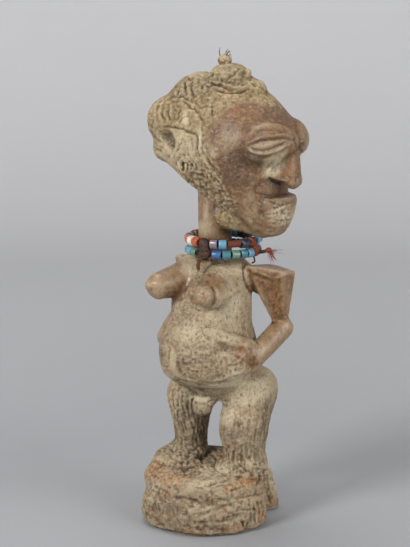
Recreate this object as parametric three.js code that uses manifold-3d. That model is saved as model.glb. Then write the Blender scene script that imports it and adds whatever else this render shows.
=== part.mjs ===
// A standing wooden power figure with a head turned over its left shoulder, a charge in the crown
// and a string of glass beads wound twice round the neck.
// Millimetres, +Z up. The body faces -Y, its left side is +X, and the origin is the centre of the underside.
import * as THREE from 'three';
import { MarchingCubes } from 'three/addons/objects/MarchingCubes.js';
import { SimplifyModifier } from 'three/addons/modifiers/SimplifyModifier.js';
import { mergeVertices } from 'three/addons/utils/BufferGeometryUtils.js';
import Module from 'manifold-3d';

// Driving dimensions of the carving
const BASE_HEIGHT = 37;
const BASE_RADIUS = 38.4;
const BASE_CENTRE = [-1.3, -5.6];
const KNEE_HEIGHT = 64;
const HIP_HEIGHT = 88;
const BELLY_HEIGHT = 113;
const CHEST_HEIGHT = 164;
const SHOULDER_HEIGHT = 173;
const NECK_RADIUS = 11.3;
const HEAD_TURN = 3;
const HEAD_HEIGHT = 258;
const HEAD_HALF_WIDTH = 32;
const HEAD_HALF_LENGTH = 51;
const CROWN_HEIGHT = 297;

// The charge set into the crown, in the head's frame
const CHARGE_PLACE = [9, 0, 309];
const CHARGE_RADIUS = 5;

// The bead string, in two level rings round the neck; each starts at the figure's right and runs over its front
const RING_CENTRE = [7, 2];
const RING_RADIUS = 22.3;
const BEAD_RADIUS = 3.05;
const STRING_RADIUS = 0.8;
const BEAD_HOLE_RADIUS = 1.4;
const BEAD_SIDES = 6;
const BEAD_GAP = 0.9;
const UPPER_SWELL = 1.1;
const BEAD_COLOURS = {
  white: '#e6dccb',
  orange: '#b8542c',
  brown: '#5f3a25',
  grey: '#77707f',
  sky: '#5f9fbd',
  navy: '#22304f',
  teal: '#3f8190',
  green: '#5a7f6c',
  blue: '#2c62a3',
  black: '#1c1d22',
};
const RINGS = [
  { name: 'upper', height: 192.4, start: 3.63, swell: UPPER_SWELL, beads: [
    ['brown', 5], ['orange', 4.5], ['white', 4.5], ['orange', 4.5], ['knot', 7], ['grey', 4.6], ['sky', 4.6],
    ['knot', 8], ['navy', 5.5], ['knot', 6], ['sky', 4.5], ['grey', 4.5], ['navy', 5], ['blue', 5],
    ['brown', 5], ['navy', 5], ['teal', 5], ['brown', 5], ['orange', 5], ['black', 5], ['navy', 5],
    ['brown', 5],
  ] },
  { name: 'lower', height: 185.4, start: 3.8, swell: 1, beads: [
    ['teal', 4.5], ['sky', 4.5], ['green', 5], ['knot', 10], ['blue', 5.5], ['teal', 5], ['green', 5],
    ['teal', 4.5], ['sky', 4.5], ['knot', 9], ['blue', 5], ['teal', 5], ['green', 5], ['navy', 5], ['teal', 5],
    ['blue', 5], ['green', 5], ['teal', 5], ['navy', 5], ['sky', 5], ['teal', 5],
  ] },
];

// Sampling of the carved form and the number of corners that its solid keeps
const GRID_CELLS = 168;
const GRID_LOW = [-56, -52, -12];
const GRID_HIGH = [82, 56, 322];
const FIGURE_CORNERS = 3150;

// Wood left under the standing plane, until it is cut off flat
const SPARE_BELOW = 4;

const FAR = 1e3;
const UP_Y = new THREE.Vector3(0, 1, 0);

const wasm = await Module();
wasm.setup();

const mix = (a, b, t) => a + (b - a) * t;
const clamp = (value, low, high) => Math.min(high, Math.max(low, value));
const smoothstep = (low, high, value) => {
  const t = clamp((value - low) / (high - low), 0, 1);
  return t * t * (3 - 2 * t);
};

// Each form is a signed distance, negative inside, with the box that it fills.
function form(low, high, distance) {
  return { low, high, distance };
}

function ballBox(centre, reach) {
  return [centre.map((v) => v - reach), centre.map((v) => v + reach)];
}

function eggDistance(x, y, z, rx, ry, rz) {
  const near = Math.hypot(x / rx, y / ry, z / rz);
  const steep = Math.hypot(x / (rx * rx), y / (ry * ry), z / (rz * rz));
  return steep > 0 ? (near * (near - 1)) / steep : -Math.min(rx, ry, rz);
}

// An egg turned by degrees about X, Y and Z.
function egg(centre, [rx, ry, rz], turn = [0, 0, 0]) {
  return placed(centre, turn, Math.max(rx, ry, rz), (x, y, z) => eggDistance(x, y, z, rx, ry, rz));
}

// A block with rounded edges; taper narrows its top, as a share of its half sizes.
function block(centre, [hx, hy, hz], round, turn = [0, 0, 0], taper = 0) {
  return placed(centre, turn, Math.hypot(hx, hy, hz) * (1 + Math.abs(taper)), (x, y, z) => {
    const share = 1 - taper * clamp(z / hz, -1, 1);
    const qx = Math.abs(x) - hx * share + round;
    const qy = Math.abs(y) - hy * share + round;
    const qz = Math.abs(z) - hz + round;
    const outside = Math.hypot(Math.max(qx, 0), Math.max(qy, 0), Math.max(qz, 0));
    return outside + Math.min(Math.max(qx, qy, qz), 0) - round;
  });
}

function placed(centre, turn, reach, local) {
  const angles = new THREE.Euler(...turn.map(THREE.MathUtils.degToRad), 'XYZ');
  const matrix = new THREE.Matrix4().makeRotationFromEuler(angles).setPosition(...centre).invert();
  const e = matrix.elements;
  return form(...ballBox(centre, reach), (x, y, z) => local(
    e[0] * x + e[4] * y + e[8] * z + e[12],
    e[1] * x + e[5] * y + e[9] * z + e[13],
    e[2] * x + e[6] * y + e[10] * z + e[14],
  ));
}

// A limb: a rod from one point to another whose radius changes along it.
function limb(from, to, radiusFrom, radiusTo) {
  const along = to.map((v, i) => v - from[i]);
  const lengthSquared = along.reduce((sum, v) => sum + v * v, 0);
  const reach = Math.max(radiusFrom, radiusTo);
  const low = from.map((v, i) => Math.min(v, to[i]) - reach);
  const high = from.map((v, i) => Math.max(v, to[i]) + reach);
  return form(low, high, (x, y, z) => {
    const px = x - from[0];
    const py = y - from[1];
    const pz = z - from[2];
    const t = clamp((px * along[0] + py * along[1] + pz * along[2]) / lengthSquared, 0, 1);
    const away = Math.hypot(px - along[0] * t, py - along[1] * t, pz - along[2] * t);
    return away - mix(radiusFrom, radiusTo, t);
  });
}

// A chain of limbs through points given as [x, y, z, radius].
function chain(points) {
  const parts = points.slice(1).map((to, i) => (
    limb(points[i].slice(0, 3), to.slice(0, 3), points[i][3], to[3])));
  const low = [0, 1, 2].map((i) => Math.min(...parts.map((part) => part.low[i])));
  const high = [0, 1, 2].map((i) => Math.max(...parts.map((part) => part.high[i])));
  return form(low, high, (x, y, z) => Math.min(...parts.map((part) => part.distance(x, y, z))));
}

// A column whose oval section follows levels given as [z, centre x, centre y, half x, half y].
function column(levels) {
  const curves = [1, 2, 3, 4].map((i) => smoothCurve(levels.map((level) => [level[0], level[i]])));
  const bottom = levels[0][0];
  const top = levels[levels.length - 1][0];
  const reachX = Math.max(...levels.map((level) => Math.abs(level[1]) + level[3])) + 3;
  const reachY = Math.max(...levels.map((level) => Math.abs(level[2]) + level[4])) + 3;
  return form([-reachX, -reachY, bottom], [reachX, reachY, top], (x, y, z) => {
    const [cx, cy, hx, hy] = curves.map((curve) => curve(z));
    const side = eggDistance(x - cx, y - cy, 0, hx, hy, 1);
    return Math.max(side, bottom - z, z - top);
  });
}

// A smooth curve through points given as [position, value].
function smoothCurve(points) {
  const slope = points.map((point, i) => {
    const before = points[Math.max(i - 1, 0)];
    const after = points[Math.min(i + 1, points.length - 1)];
    return (after[1] - before[1]) / (after[0] - before[0]);
  });
  return (position) => {
    const at = clamp(position, points[0][0], points[points.length - 1][0]);
    let i = 0;
    while (i < points.length - 2 && at > points[i + 1][0]) {
      i += 1;
    }
    const step = points[i + 1][0] - points[i][0];
    const t = (at - points[i][0]) / step;
    const t2 = t * t;
    const t3 = t2 * t;
    return (2 * t3 - 3 * t2 + 1) * points[i][1] + (t3 - 2 * t2 + t) * step * slope[i]
      + (3 * t2 - 2 * t3) * points[i + 1][1] + (t3 - t2) * step * slope[i + 1];
  };
}

// The space beyond a plane through a point, on the side that its normal points to.
function beyond(point, normal) {
  const length = Math.hypot(...normal);
  const [nx, ny, nz] = normal.map((v) => v / length);
  const offset = nx * point[0] + ny * point[1] + nz * point[2];
  return form(GRID_LOW, GRID_HIGH, (x, y, z) => offset - nx * x - ny * y - nz * z);
}

// The part that several forms have in common, with a soft edge between them.
function common(forms, edge = 0) {
  const low = [0, 1, 2].map((i) => Math.max(...forms.map((part) => part.low[i])));
  const high = [0, 1, 2].map((i) => Math.min(...forms.map((part) => part.high[i])));
  return form(low, high, (x, y, z) => forms
    .map((part) => part.distance(x, y, z))
    .reduce((a, b) => softMax(a, b, edge)));
}

// The space around a form, inside the box of the carving.
function outside(part) {
  return form(GRID_LOW, GRID_HIGH, (x, y, z) => -part.distance(x, y, z));
}

function swollen(part, by) {
  const low = part.low.map((v) => v - by);
  const high = part.high.map((v) => v + by);
  return form(low, high, (x, y, z) => part.distance(x, y, z) - by);
}

function softMin(a, b, edge) {
  const share = edge > 0 ? Math.max(edge - Math.abs(a - b), 0) / edge : 0;
  return Math.min(a, b) - share * share * edge * 0.25;
}

function softMax(a, b, edge) {
  return -softMin(-a, -b, edge);
}

// A form given in the head's own frame: forward, to the head's left, up.
function inHead(part) {
  const turn = new THREE.Matrix4().makeRotationZ(THREE.MathUtils.degToRad(HEAD_TURN));
  const box = new THREE.Box3(new THREE.Vector3(...part.low), new THREE.Vector3(...part.high));
  box.applyMatrix4(turn);
  const cos = turn.elements[0];
  const sin = turn.elements[1];
  return form(box.min.toArray(), box.max.toArray(), (x, y, z) => (
    part.distance(cos * x + sin * y, cos * y - sin * x, z)));
}

// The block of wood that the forms are added to and cut from, sampled on a grid.
class Carving {
  constructor() {
    this.cubes = new MarchingCubes(GRID_CELLS, new THREE.MeshStandardMaterial(), false, false, 600000);
    this.cubes.isolation = 0;
    this.field = this.cubes.field;
    this.field.fill(-FAR);
    this.step = GRID_HIGH.map((high, i) => (high - GRID_LOW[i]) / GRID_CELLS);
  }

  change(part, edge, rule) {
    const margin = edge + 3;
    const from = part.low.map((v, i) => this.cellAt(v - margin, i));
    const to = part.high.map((v, i) => this.cellAt(v + margin, i) + 1);
    for (let k = from[2]; k <= to[2]; k += 1) {
      const z = GRID_LOW[2] + k * this.step[2];
      for (let j = from[1]; j <= to[1]; j += 1) {
        const y = GRID_LOW[1] + j * this.step[1];
        for (let i = from[0]; i <= to[0]; i += 1) {
          const x = GRID_LOW[0] + i * this.step[0];
          const index = i + GRID_CELLS * (j + GRID_CELLS * k);
          this.field[index] = -rule(-this.field[index], part.distance(x, y, z), x, y, z);
        }
      }
    }
  }

  cellAt(value, axis) {
    return clamp(Math.floor((value - GRID_LOW[axis]) / this.step[axis]), 0, GRID_CELLS - 2);
  }

  add(part, edge = 0) {
    this.change(part, edge, (wood, distance) => softMin(wood, distance, edge));
  }

  cut(part, edge = 0) {
    this.change(part, edge, (wood, distance) => softMax(wood, -distance, edge));
  }

  // The carved surface as a closed body with about the asked number of corners.
  async body(corners) {
    this.cubes.update();
    const surface = new THREE.BufferGeometry();
    const places = this.cubes.positionArray.slice(0, this.cubes.count * 3);
    surface.setAttribute('position', new THREE.BufferAttribute(places, 3));
    const half = this.step.map((step) => (step * GRID_CELLS) / 2);
    surface.scale(...half);
    surface.translate(...GRID_LOW.map((low, i) => low + half[i]));
    const welded = mergeVertices(surface, 1e-3);
    const spare = welded.attributes.position.count - corners;
    return new SimplifyModifier().modify(welded, spare);
  }
}

// The drum that the figure stands on: an uneven round with a ledge, and a lobe behind the left foot.
function carveBase(wood) {
  const outline = (angle) => BASE_RADIUS
    + 1.2 * Math.cos(5 * (angle + 1.08)) + 0.8 * Math.cos(3 * angle);
  const drum = form([-50, -50, -SPARE_BELOW], [50, 50, BASE_HEIGHT + 3], (x, y, z) => {
    const angle = Math.atan2(y - BASE_CENTRE[1], x - BASE_CENTRE[0]);
    const away = Math.hypot(x - BASE_CENTRE[0], y - BASE_CENTRE[1]);
    const ledge = 19 + 4 * Math.sin(angle + 2) + 2 * Math.sin(3 * angle + 1);
    const flare = 2.4 * smoothstep(ledge + 5, ledge - 4, z) - 3 * smoothstep(3, 0, z)
      - 2 * smoothstep(26, BASE_HEIGHT, z);
    const top = BASE_HEIGHT + 2.5 + 0.09 * y - 0.06 * x;
    const side = softMax(away - outline(angle) - flare, z - top, 9);
    return Math.max(side, -SPARE_BELOW - z);
  });
  wood.add(drum);
  wood.add(egg([-29, -17, 29], [12, 14, 11]), 5);
  wood.add(block([10.5, 33, 12], [14, 11, 18], 8, [0, 0, 66], 0.14), 2);
}

function carveLegs(wood) {
  for (const side of [-1, 1]) {
    const worn = side < 0 ? 0.76 : 1;
    const x = 20.5 * side;
    const back = side < 0 ? -5 : 0;
    wood.add(column([
      [BASE_HEIGHT - 12, x, 4, 14 * worn, 19],
      [46, x, 8 + back, 12.8 * worn, 15.5 * worn],
      [KNEE_HEIGHT, x, 7.5 + back, 15 * worn, 18.7 * worn],
      [HIP_HEIGHT - 6, side < 0 ? x - 2.5 : x, 12 + back, 16.5, 18],
      [HIP_HEIGHT + 10, x * 0.85, 8, 15, 17],
    ]), 4);
    wood.add(egg([20 * side, 17, HIP_HEIGHT + 2], [17, 17.5, 16]), 6);
  }
  wood.add(egg([21, 1, BASE_HEIGHT], [13.5, 14, 3]), 12);
  wood.add(egg([-24, -8, BASE_HEIGHT + 2], [15, 18, 9]), 8);
  wood.add(egg([-14, -14, BASE_HEIGHT], [12, 10, 7]), 5);
}

// The trunk with its pot belly, whose underside is cut off flat.
function trunkForm() {
  const trunk = column([
    [HIP_HEIGHT - 4, 0, 9, 26, 17],
    [HIP_HEIGHT + 10, 0, 3, 29, 22],
    [BELLY_HEIGHT + 5, 0, -1, 30, 26],
    [BELLY_HEIGHT + 27, 0, -2, 28, 24.5],
    [CHEST_HEIGHT - 6, 0, -1, 28.5, 22.5],
    [CHEST_HEIGHT + 8, 0, 2, 29, 19],
    [SHOULDER_HEIGHT + 3, 0, 3, 26, 16],
    [SHOULDER_HEIGHT + 7, 0, 3, 18, 13],
  ]);
  const belly = common([
    egg([0, -4, BELLY_HEIGHT + 4], [31.5, 32.5, 34]),
    beyond([0, -20, BELLY_HEIGHT - 17], [0, 0.1, 1]),
  ], 5);
  return form([-36, -42, HIP_HEIGHT - 6], [36, 36, SHOULDER_HEIGHT + 8], (x, y, z) => (
    softMin(trunk.distance(x, y, z), belly.distance(x, y, z), 3)));
}

function carveTrunk(wood, trunk) {
  wood.add(trunk, 3);
  wood.add(limb([0, -8, HIP_HEIGHT - 3], [0, -12, HIP_HEIGHT - 8], 7.5, 6.2), 4);
}

function carveBreasts(wood) {
  wood.add(limb([-14, -11, CHEST_HEIGHT + 1], [-21.5, -29, CHEST_HEIGHT - 2], 12, 9), 4);
  wood.add(limb([-22, -31, CHEST_HEIGHT - 2], [-24, -37, CHEST_HEIGHT - 1], 6.8, 2.8), 3);
  wood.add(limb([14, -11, CHEST_HEIGHT + 1], [19, -27, CHEST_HEIGHT - 3.5], 12.4, 8.8), 4);
  wood.add(limb([19.2, -30.5, CHEST_HEIGHT - 3], [19.4, -33, CHEST_HEIGHT - 2.6], 7.9, 7), 1.2);
}

// The wood just outside the trunk, thin over the belly and thicker towards the wrists.
function handLayer(trunk, thick) {
  const reach = thick + 6;
  return form(trunk.low.map((v) => v - reach), trunk.high.map((v) => v + reach), (x, y, z) => (
    trunk.distance(x, y, z) - thick - 6 * smoothstep(22, 36, Math.abs(x))));
}

// The arms are set back, with flat facets, bent at the elbow; the hands lie on the belly.
function carveArms(wood, trunk) {
  for (const side of [-1, 1]) {
    const over = (points) => points.map(([x, y, z]) => [x * side, y, z]);
    const top = over([[26, -3, 178], [46, 16, 173], [46.5, 30, 171], [26, 31, 175]]);
    const bottom = over([[34, 16, 131], [43, 15, 129], [46.5, 24, 128], [37, 30, 131]]);
    wood.add(post(top, bottom, 2.5), 1.5);
    wood.add(limb([25 * side, 8, CHEST_HEIGHT + 4], [29 * side, 12, CHEST_HEIGHT - 4], 6, 4), 2);
    const wrist = side < 0 ? [-34, -6, 121] : [35, -1, 117];
    wood.add(limb([40.5 * side, 22.5, side < 0 ? 137 : 133], wrist, 7.4, 7.2), 2);
    const palm = chain([
      [...wrist, 8],
      [28 * side, -20, 114, 11],
      [10 * side, -34, 113, 12.5],
      [4 * side, -36, 112, 10],
    ]);
    const layer = side > 0 ? handLayer(trunk, 1.7) : swollen(trunk, 1.8);
    wood.add(common([layer, palm], 1.5), 1);
  }
  wood.add(common([handLayer(trunk, 1.3), limb([34, -7, 124], [16, -28, 137], 6.5, 2.4)], 1), 2);
}

// A post with flat sides between two outlines that have the same number of corners.
function post(top, bottom, edge) {
  const corners = [...top, ...bottom];
  const centre = [0, 1, 2].map((i) => corners.reduce((sum, corner) => sum + corner[i], 0) / corners.length);
  const planes = top.map((corner, i) => [corner, top[(i + 1) % top.length], bottom[i]]);
  planes.push(top.slice(0, 3), bottom.slice(0, 3));
  const sides = planes.map((points) => {
    const [a, b, c] = points.map((point) => new THREE.Vector3(...point));
    const normal = b.clone().sub(a).cross(c.clone().sub(a)).normalize();
    const offset = normal.dot(a);
    const outward = normal.dot(new THREE.Vector3(...centre)) > offset ? -1 : 1;
    return [normal.x * outward, normal.y * outward, normal.z * outward, offset * outward];
  });
  const low = [0, 1, 2].map((i) => Math.min(...corners.map((corner) => corner[i])));
  const high = [0, 1, 2].map((i) => Math.max(...corners.map((corner) => corner[i])));
  return form(low, high, (x, y, z) => sides
    .map(([nx, ny, nz, offset]) => nx * x + ny * y + nz * z - offset)
    .reduce((a, b) => softMax(a, b, edge)));
}

function carveNeck(wood) {
  wood.add(column([
    [SHOULDER_HEIGHT - 4, 1, 2, NECK_RADIUS + 3, NECK_RADIUS + 1],
    [SHOULDER_HEIGHT + 10, 1, 1, NECK_RADIUS, NECK_RADIUS],
    [HEAD_HEIGHT - 36, 1, 1, NECK_RADIUS, NECK_RADIUS],
    [HEAD_HEIGHT - 20, 1, 1, NECK_RADIUS + 1, NECK_RADIUS],
  ]), 3);
}

// The head, in its own frame: forward, to the head's left, up.
function carveHead(wood) {
  const skull = egg([9, 0, HEAD_HEIGHT], [HEAD_HALF_LENGTH, HEAD_HALF_WIDTH, CROWN_HEIGHT - HEAD_HEIGHT]);
  wood.add(inHead(skull));
  wood.add(inHead(egg([18, 0, HEAD_HEIGHT - 22], [38.5, 28, 36])), 8);
  wood.add(inHead(egg([40, 0, HEAD_HEIGHT - 49], [15.5, 16, 13])), 8);
  wood.cut(inHead(belowJaw()), 4);
  wood.add(inHead(egg([36, 0, HEAD_HEIGHT + 3], [29.5, 27, 16])), 6);
  wood.add(inHead(egg([41, 0, HEAD_HEIGHT - 51], [13, 13, 10])), 6);
  wood.add(inHead(limb([8, 0, HEAD_HEIGHT - 50], [38, 0, HEAD_HEIGHT - 51], 9, 9)), 5);
  carveFace(wood);
  carveHair(wood);
}

function belowJaw() {
  const plane = beyond([5, 0, HEAD_HEIGHT - 32], [-0.57, 0, -1]);
  return form([-55, -40, HEAD_HEIGHT - 70], [60, 40, HEAD_HEIGHT], plane.distance);
}

function carveFace(wood) {
  const nose = HEAD_HEIGHT - 22;
  const mouth = HEAD_HEIGHT - 42;
  const eye = HEAD_HEIGHT + 4;
  for (const side of [-1, 1]) {
    wood.add(inHead(egg([50, 14 * side, eye - 3], [11.5, 15, 12])), 5);
    wood.add(inHead(egg([56, 13 * side, eye], [6.5, 16, 10], [10 * side, 0, 40 * side])), 2);
    wood.cut(inHead(egg([62, 17 * side, eye], [4, 13, 1.4], [10 * side, 0, 40 * side])), 1);
    wood.cut(inHead(egg([61, 21 * side, nose + 2], [9, 9, 10])), 6);
  }
  wood.add(inHead(post(
    [[64, 3.5, eye + 2], [64, -3.5, eye + 2], [50, -13, eye + 2], [50, 13, eye + 2]],
    [[66.5, 5, nose - 3], [66.5, -5, nose - 3], [51, -14.5, nose + 2], [51, 14.5, nose + 2]],
    2.5,
  )), 1.5);
  wood.add(inHead(egg([61.5, 0, nose - 0.5], [5.2, 6.5, 5.5])), 1.5);
  const philtrum = column([[mouth, 35, 0, 17, 21], [nose, 35, 0, 17, 21]]);
  const recess = common([block([60, 0, nose - 7], [18, 20, 2.8], 1, [0, 9, 0]), outside(philtrum)]);
  wood.cut(inHead(recess), 1.5);
  wood.add(inHead(column([
    [mouth - 12, 45, 0, 11, 12],
    [mouth - 3, 42, 0, 18.4, 16.5],
    [mouth + 6, 43, 0, 19, 17.5],
    [mouth + 10.5, 43, 0, 18.3, 17],
  ])), 1.5);
  wood.cut(inHead(egg([62, 0, mouth + 4.5], [7, 20, 1.1])), 1);
}

function carveHair(wood) {
  wood.add(inHead(egg([-8, 0, HEAD_HEIGHT + 12], [27, 23, 30.5])), 5);
  wood.add(inHead(egg([-28, 0, HEAD_HEIGHT - 8], [14, 20, 11])), 4);
  for (const side of [-1, 1]) {
    wood.add(inHead(egg([-25, 13 * side, HEAD_HEIGHT + 11], [15.5, 14, 16])), 4);
    wood.add(inHead(egg([0, 24 * side, HEAD_HEIGHT - 2], [13, 9.5, 14])), 2);
    wood.cut(inHead(egg([-17, 30 * side, HEAD_HEIGHT + 1], [9, 8, 5.5], [0, 25, 0])), 3);
    wood.add(inHead(egg([-3, 25 * side, HEAD_HEIGHT - 15], [7, 6, 9])), 2);
    wood.cut(inHead(egg([-3, 31 * side, HEAD_HEIGHT - 15], [2.5, 4, 4])), 1);
  }
  wood.add(inHead(egg([13, 0, CROWN_HEIGHT + 1], [14, 12.5, 9.5])), 3);
  wood.add(inHead(egg([25, 0, CROWN_HEIGHT - 5], [14, 12, 7])), 4);
  wood.add(inHead(limb([27, -2, CROWN_HEIGHT], [28.5, -2.5, CROWN_HEIGHT + 5.5], 3, 2.3)), 1);
  wood.cut(inHead(egg(CHARGE_PLACE, [CHARGE_RADIUS + 0.4, CHARGE_RADIUS + 0.4, CHARGE_RADIUS + 0.4])));
}

async function makeFigure() {
  const wood = new Carving();
  carveHead(wood);
  carveNeck(wood);
  const trunk = trunkForm();
  carveTrunk(wood, trunk);
  carveBreasts(wood);
  carveArms(wood, trunk);
  carveLegs(wood);
  carveBase(wood);
  const carved = solidOf(await wood.body(FIGURE_CORNERS));
  const under = solidOf(new THREE.BoxGeometry(200, 200, 40).translate(0, 0, -20));
  return geometryOf(carved.subtract(under));
}

function solidOf(geometry) {
  const bare = geometry.clone();
  bare.deleteAttribute('normal');
  bare.deleteAttribute('uv');
  const merged = mergeVertices(bare, 1e-4);
  return new wasm.Manifold(new wasm.Mesh({
    numProp: 3,
    vertProperties: Float32Array.from(merged.attributes.position.array),
    triVerts: Uint32Array.from(merged.index.array),
  }));
}

function geometryOf(solid) {
  const mesh = solid.getMesh();
  const geometry = new THREE.BufferGeometry();
  geometry.setAttribute('position', new THREE.BufferAttribute(mesh.vertProperties, 3));
  geometry.setIndex(new THREE.BufferAttribute(mesh.triVerts, 1));
  geometry.computeVertexNormals();
  return geometry;
}

function piece(name, geometry, colour, roughness = 0.8) {
  const material = new THREE.MeshStandardMaterial({ color: colour, roughness, metalness: 0 });
  const mesh = new THREE.Mesh(geometry, material);
  mesh.name = name;
  return mesh;
}

function ringPlace(ring, angle) {
  const x = RING_CENTRE[0] + RING_RADIUS * Math.cos(angle);
  const y = RING_CENTRE[1] + RING_RADIUS * Math.sin(angle);
  return new THREE.Vector3(x, y, ring.height);
}

function lump(place, radii) {
  return solidOf(new THREE.IcosahedronGeometry(1, 1).scale(...radii).translate(...place));
}

// A tapering end of fibre between two places.
function wisp(from, to, radius) {
  const start = new THREE.Vector3(...from);
  const along = new THREE.Vector3(...to).sub(start);
  const cone = new THREE.CylinderGeometry(radius * 0.4, radius, along.length(), 5);
  cone.translate(0, along.length() / 2, 0);
  cone.applyQuaternion(new THREE.Quaternion().setFromUnitVectors(UP_Y, along.clone().normalize()));
  return solidOf(cone.translate(...from));
}

// Every entry of a ring with the angle of its middle.
function entries(ring) {
  let angle = ring.start;
  return ring.beads.map(([colour, length]) => {
    const turn = (length + BEAD_GAP) / RING_RADIUS;
    angle += turn;
    return { colour, length, middle: angle - turn / 2 };
  });
}

// The string with its knots, which tie the two rings together at the front and over the left shoulder.
function makeString() {
  const [upper, lower] = RINGS;
  const knotsOf = (ring) => entries(ring)
    .filter((entry) => entry.colour === 'knot')
    .map((entry) => ringPlace(ring, entry.middle));
  const [front, wrap, side] = knotsOf(upper);
  const [frontBelow, sideBelow] = knotsOf(lower);
  const between = front.clone().lerp(frontBelow, 0.5);
  const frayed = sideBelow.clone().add(new THREE.Vector3(8, 4, -2.5));
  const end = (from, x, y, z, radius) => wisp(from.toArray(), [from.x + x, from.y + y, from.z + z], radius);
  const parts = [
    ...RINGS.map((ring) => solidOf(
      new THREE.TorusGeometry(RING_RADIUS, STRING_RADIUS, 5, 36).translate(...RING_CENTRE, ring.height))),
    lump(front.toArray(), [3.2, 2.8, 3.4]),
    lump(between.toArray(), [3, 2.6, 3.2]),
    lump(frontBelow.toArray(), [3.6, 2.8, 3.6]),
    end(frontBelow, -3, -2.5, -8.5, 2),
    lump(wrap.toArray(), [3.4, 3, 2.2]),
    lump(side.toArray(), [2.6, 2.8, 3.2]),
    lump(sideBelow.toArray(), [2.8, 3.4, 3.4]),
    end(sideBelow, 8, 4, -2.5, 1.5),
    end(frayed, 5, 0.5, -2.5, 1.6),
    end(frayed, 5, 4.5, -2, 1.6),
  ];
  return geometryOf(parts.reduce((whole, part) => whole.add(part)));
}

// The charge in the crown: a small lump of resin with the stumps of horn slivers in it.
function makeCharge() {
  const [x, y, z] = CHARGE_PLACE;
  const parts = [
    lump(CHARGE_PLACE, [CHARGE_RADIUS, CHARGE_RADIUS * 0.9, CHARGE_RADIUS]),
    wisp([x - 2.5, y, z + 2], [x - 3.4, y + 0.5, z + 8], 1.4),
    wisp([x + 2, y, z + 2], [x + 3.5, y - 0.5, z + 6.5], 1.8),
  ];
  return geometryOf(parts.reduce((whole, part) => whole.add(part)));
}

// One bead is a short barrel with a hole along it, made once for each length.
function beadGeometry(length, swell) {
  const half = length / 2;
  const radius = BEAD_RADIUS * swell;
  const profile = [
    [BEAD_HOLE_RADIUS, -half],
    [radius * 0.82, -half],
    [radius, 0],
    [radius * 0.82, half],
    [BEAD_HOLE_RADIUS, half],
    [BEAD_HOLE_RADIUS, -half],
  ].map(([x, y]) => new THREE.Vector2(x, y));
  return geometryOf(solidOf(new THREE.LatheGeometry(profile, BEAD_SIDES)));
}

function addBeads(group, ring) {
  entries(ring).forEach(({ colour, length, middle }, i) => {
    if (colour !== 'knot') {
      const name = `bead_${ring.name}_${i + 1}`;
      const bead = piece(name, beadGeometry(length, ring.swell), BEAD_COLOURS[colour], 0.35);
      bead.position.copy(ringPlace(ring, middle));
      bead.quaternion.setFromUnitVectors(UP_Y, new THREE.Vector3(-Math.sin(middle), Math.cos(middle), 0));
      group.add(bead);
    }
  });
}

const group = new THREE.Group();
group.add(piece('figure', await makeFigure(), '#8a7963'));
const charge = piece('crown_charge', makeCharge(), '#b3a184');
charge.rotation.z = THREE.MathUtils.degToRad(HEAD_TURN);
group.add(charge);
group.add(piece('bead_string', makeString(), '#4a3021', 0.9));
for (const ring of RINGS) {
  addBeads(group, ring);
}
export default group;
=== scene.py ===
"""A standing wooden power figure: carved wood with its tool marks, a charge in the crown and a string of beads
round the neck.

Metres in the scene, +Z up. The body faces -Y, its left side is +X, and the figure stands on z = 0.
The carving is worked out in millimetres, with the same forms and sizes as the solid that it stands for.
"""
import math
from collections import namedtuple

import bpy
import numpy as np
from bpy.props import FloatProperty, FloatVectorProperty, IntProperty, PointerProperty
from bpy.types import Operator, Panel, PropertyGroup
from mathutils import Matrix, Vector


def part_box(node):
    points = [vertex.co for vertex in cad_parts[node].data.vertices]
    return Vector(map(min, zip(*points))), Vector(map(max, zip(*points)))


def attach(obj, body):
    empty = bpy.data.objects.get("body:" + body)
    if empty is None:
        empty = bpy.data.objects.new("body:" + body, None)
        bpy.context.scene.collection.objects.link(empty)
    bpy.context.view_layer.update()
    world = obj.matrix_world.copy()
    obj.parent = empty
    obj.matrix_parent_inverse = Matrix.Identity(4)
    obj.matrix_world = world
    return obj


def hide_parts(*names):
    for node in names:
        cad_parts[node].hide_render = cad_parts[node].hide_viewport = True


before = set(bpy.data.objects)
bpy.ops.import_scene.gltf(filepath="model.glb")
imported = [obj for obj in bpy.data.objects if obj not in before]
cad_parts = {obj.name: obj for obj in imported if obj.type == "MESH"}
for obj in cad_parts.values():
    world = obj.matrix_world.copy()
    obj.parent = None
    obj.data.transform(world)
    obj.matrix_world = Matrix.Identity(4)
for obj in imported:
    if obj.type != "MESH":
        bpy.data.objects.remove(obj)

bl_info = {
    "name": "Power Figure",
    "version": (1, 0, 0),
    "blender": (4, 2, 0),
    "location": "View3D > Sidebar > Figure",
    "description": "Builds a carved wooden power figure with its beads, charge and stage",
    "category": "Object",
}

MM = 0.001

# Driving dimensions of the carving, in millimetres
BASE_HEIGHT = 37
BASE_RADIUS = 38.4
BASE_CENTRE = (-1.3, -5.6)
KNEE_HEIGHT = 64
HIP_HEIGHT = 88
BELLY_HEIGHT = 113
CHEST_HEIGHT = 164
SHOULDER_HEIGHT = 173
NECK_RADIUS = 11.3
HEAD_TURN = 3
HEAD_HEIGHT = 258
HEAD_HALF_WIDTH = 32
HEAD_HALF_LENGTH = 51
CROWN_HEIGHT = 297
CHARGE_PLACE = (9, 0, 309)
CHARGE_RADIUS = 5

RING_CENTRE = (7, 2)
RING_RADIUS = 22.3
BEAD_RADIUS = 3.05
STRING_RADIUS = 0.8
BEAD_HOLE_RADIUS = 1.4
BEAD_GAP = 0.9
UPPER_SWELL = 1.1

# The box that the carving is worked out in
FIELD_LOW = (-54, -52, -3)
FIELD_HIGH = (72, 56, 312)
FAR = 1e3

# How far the finished surface stays inside the solid's box
CLIP = 0.05

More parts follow.
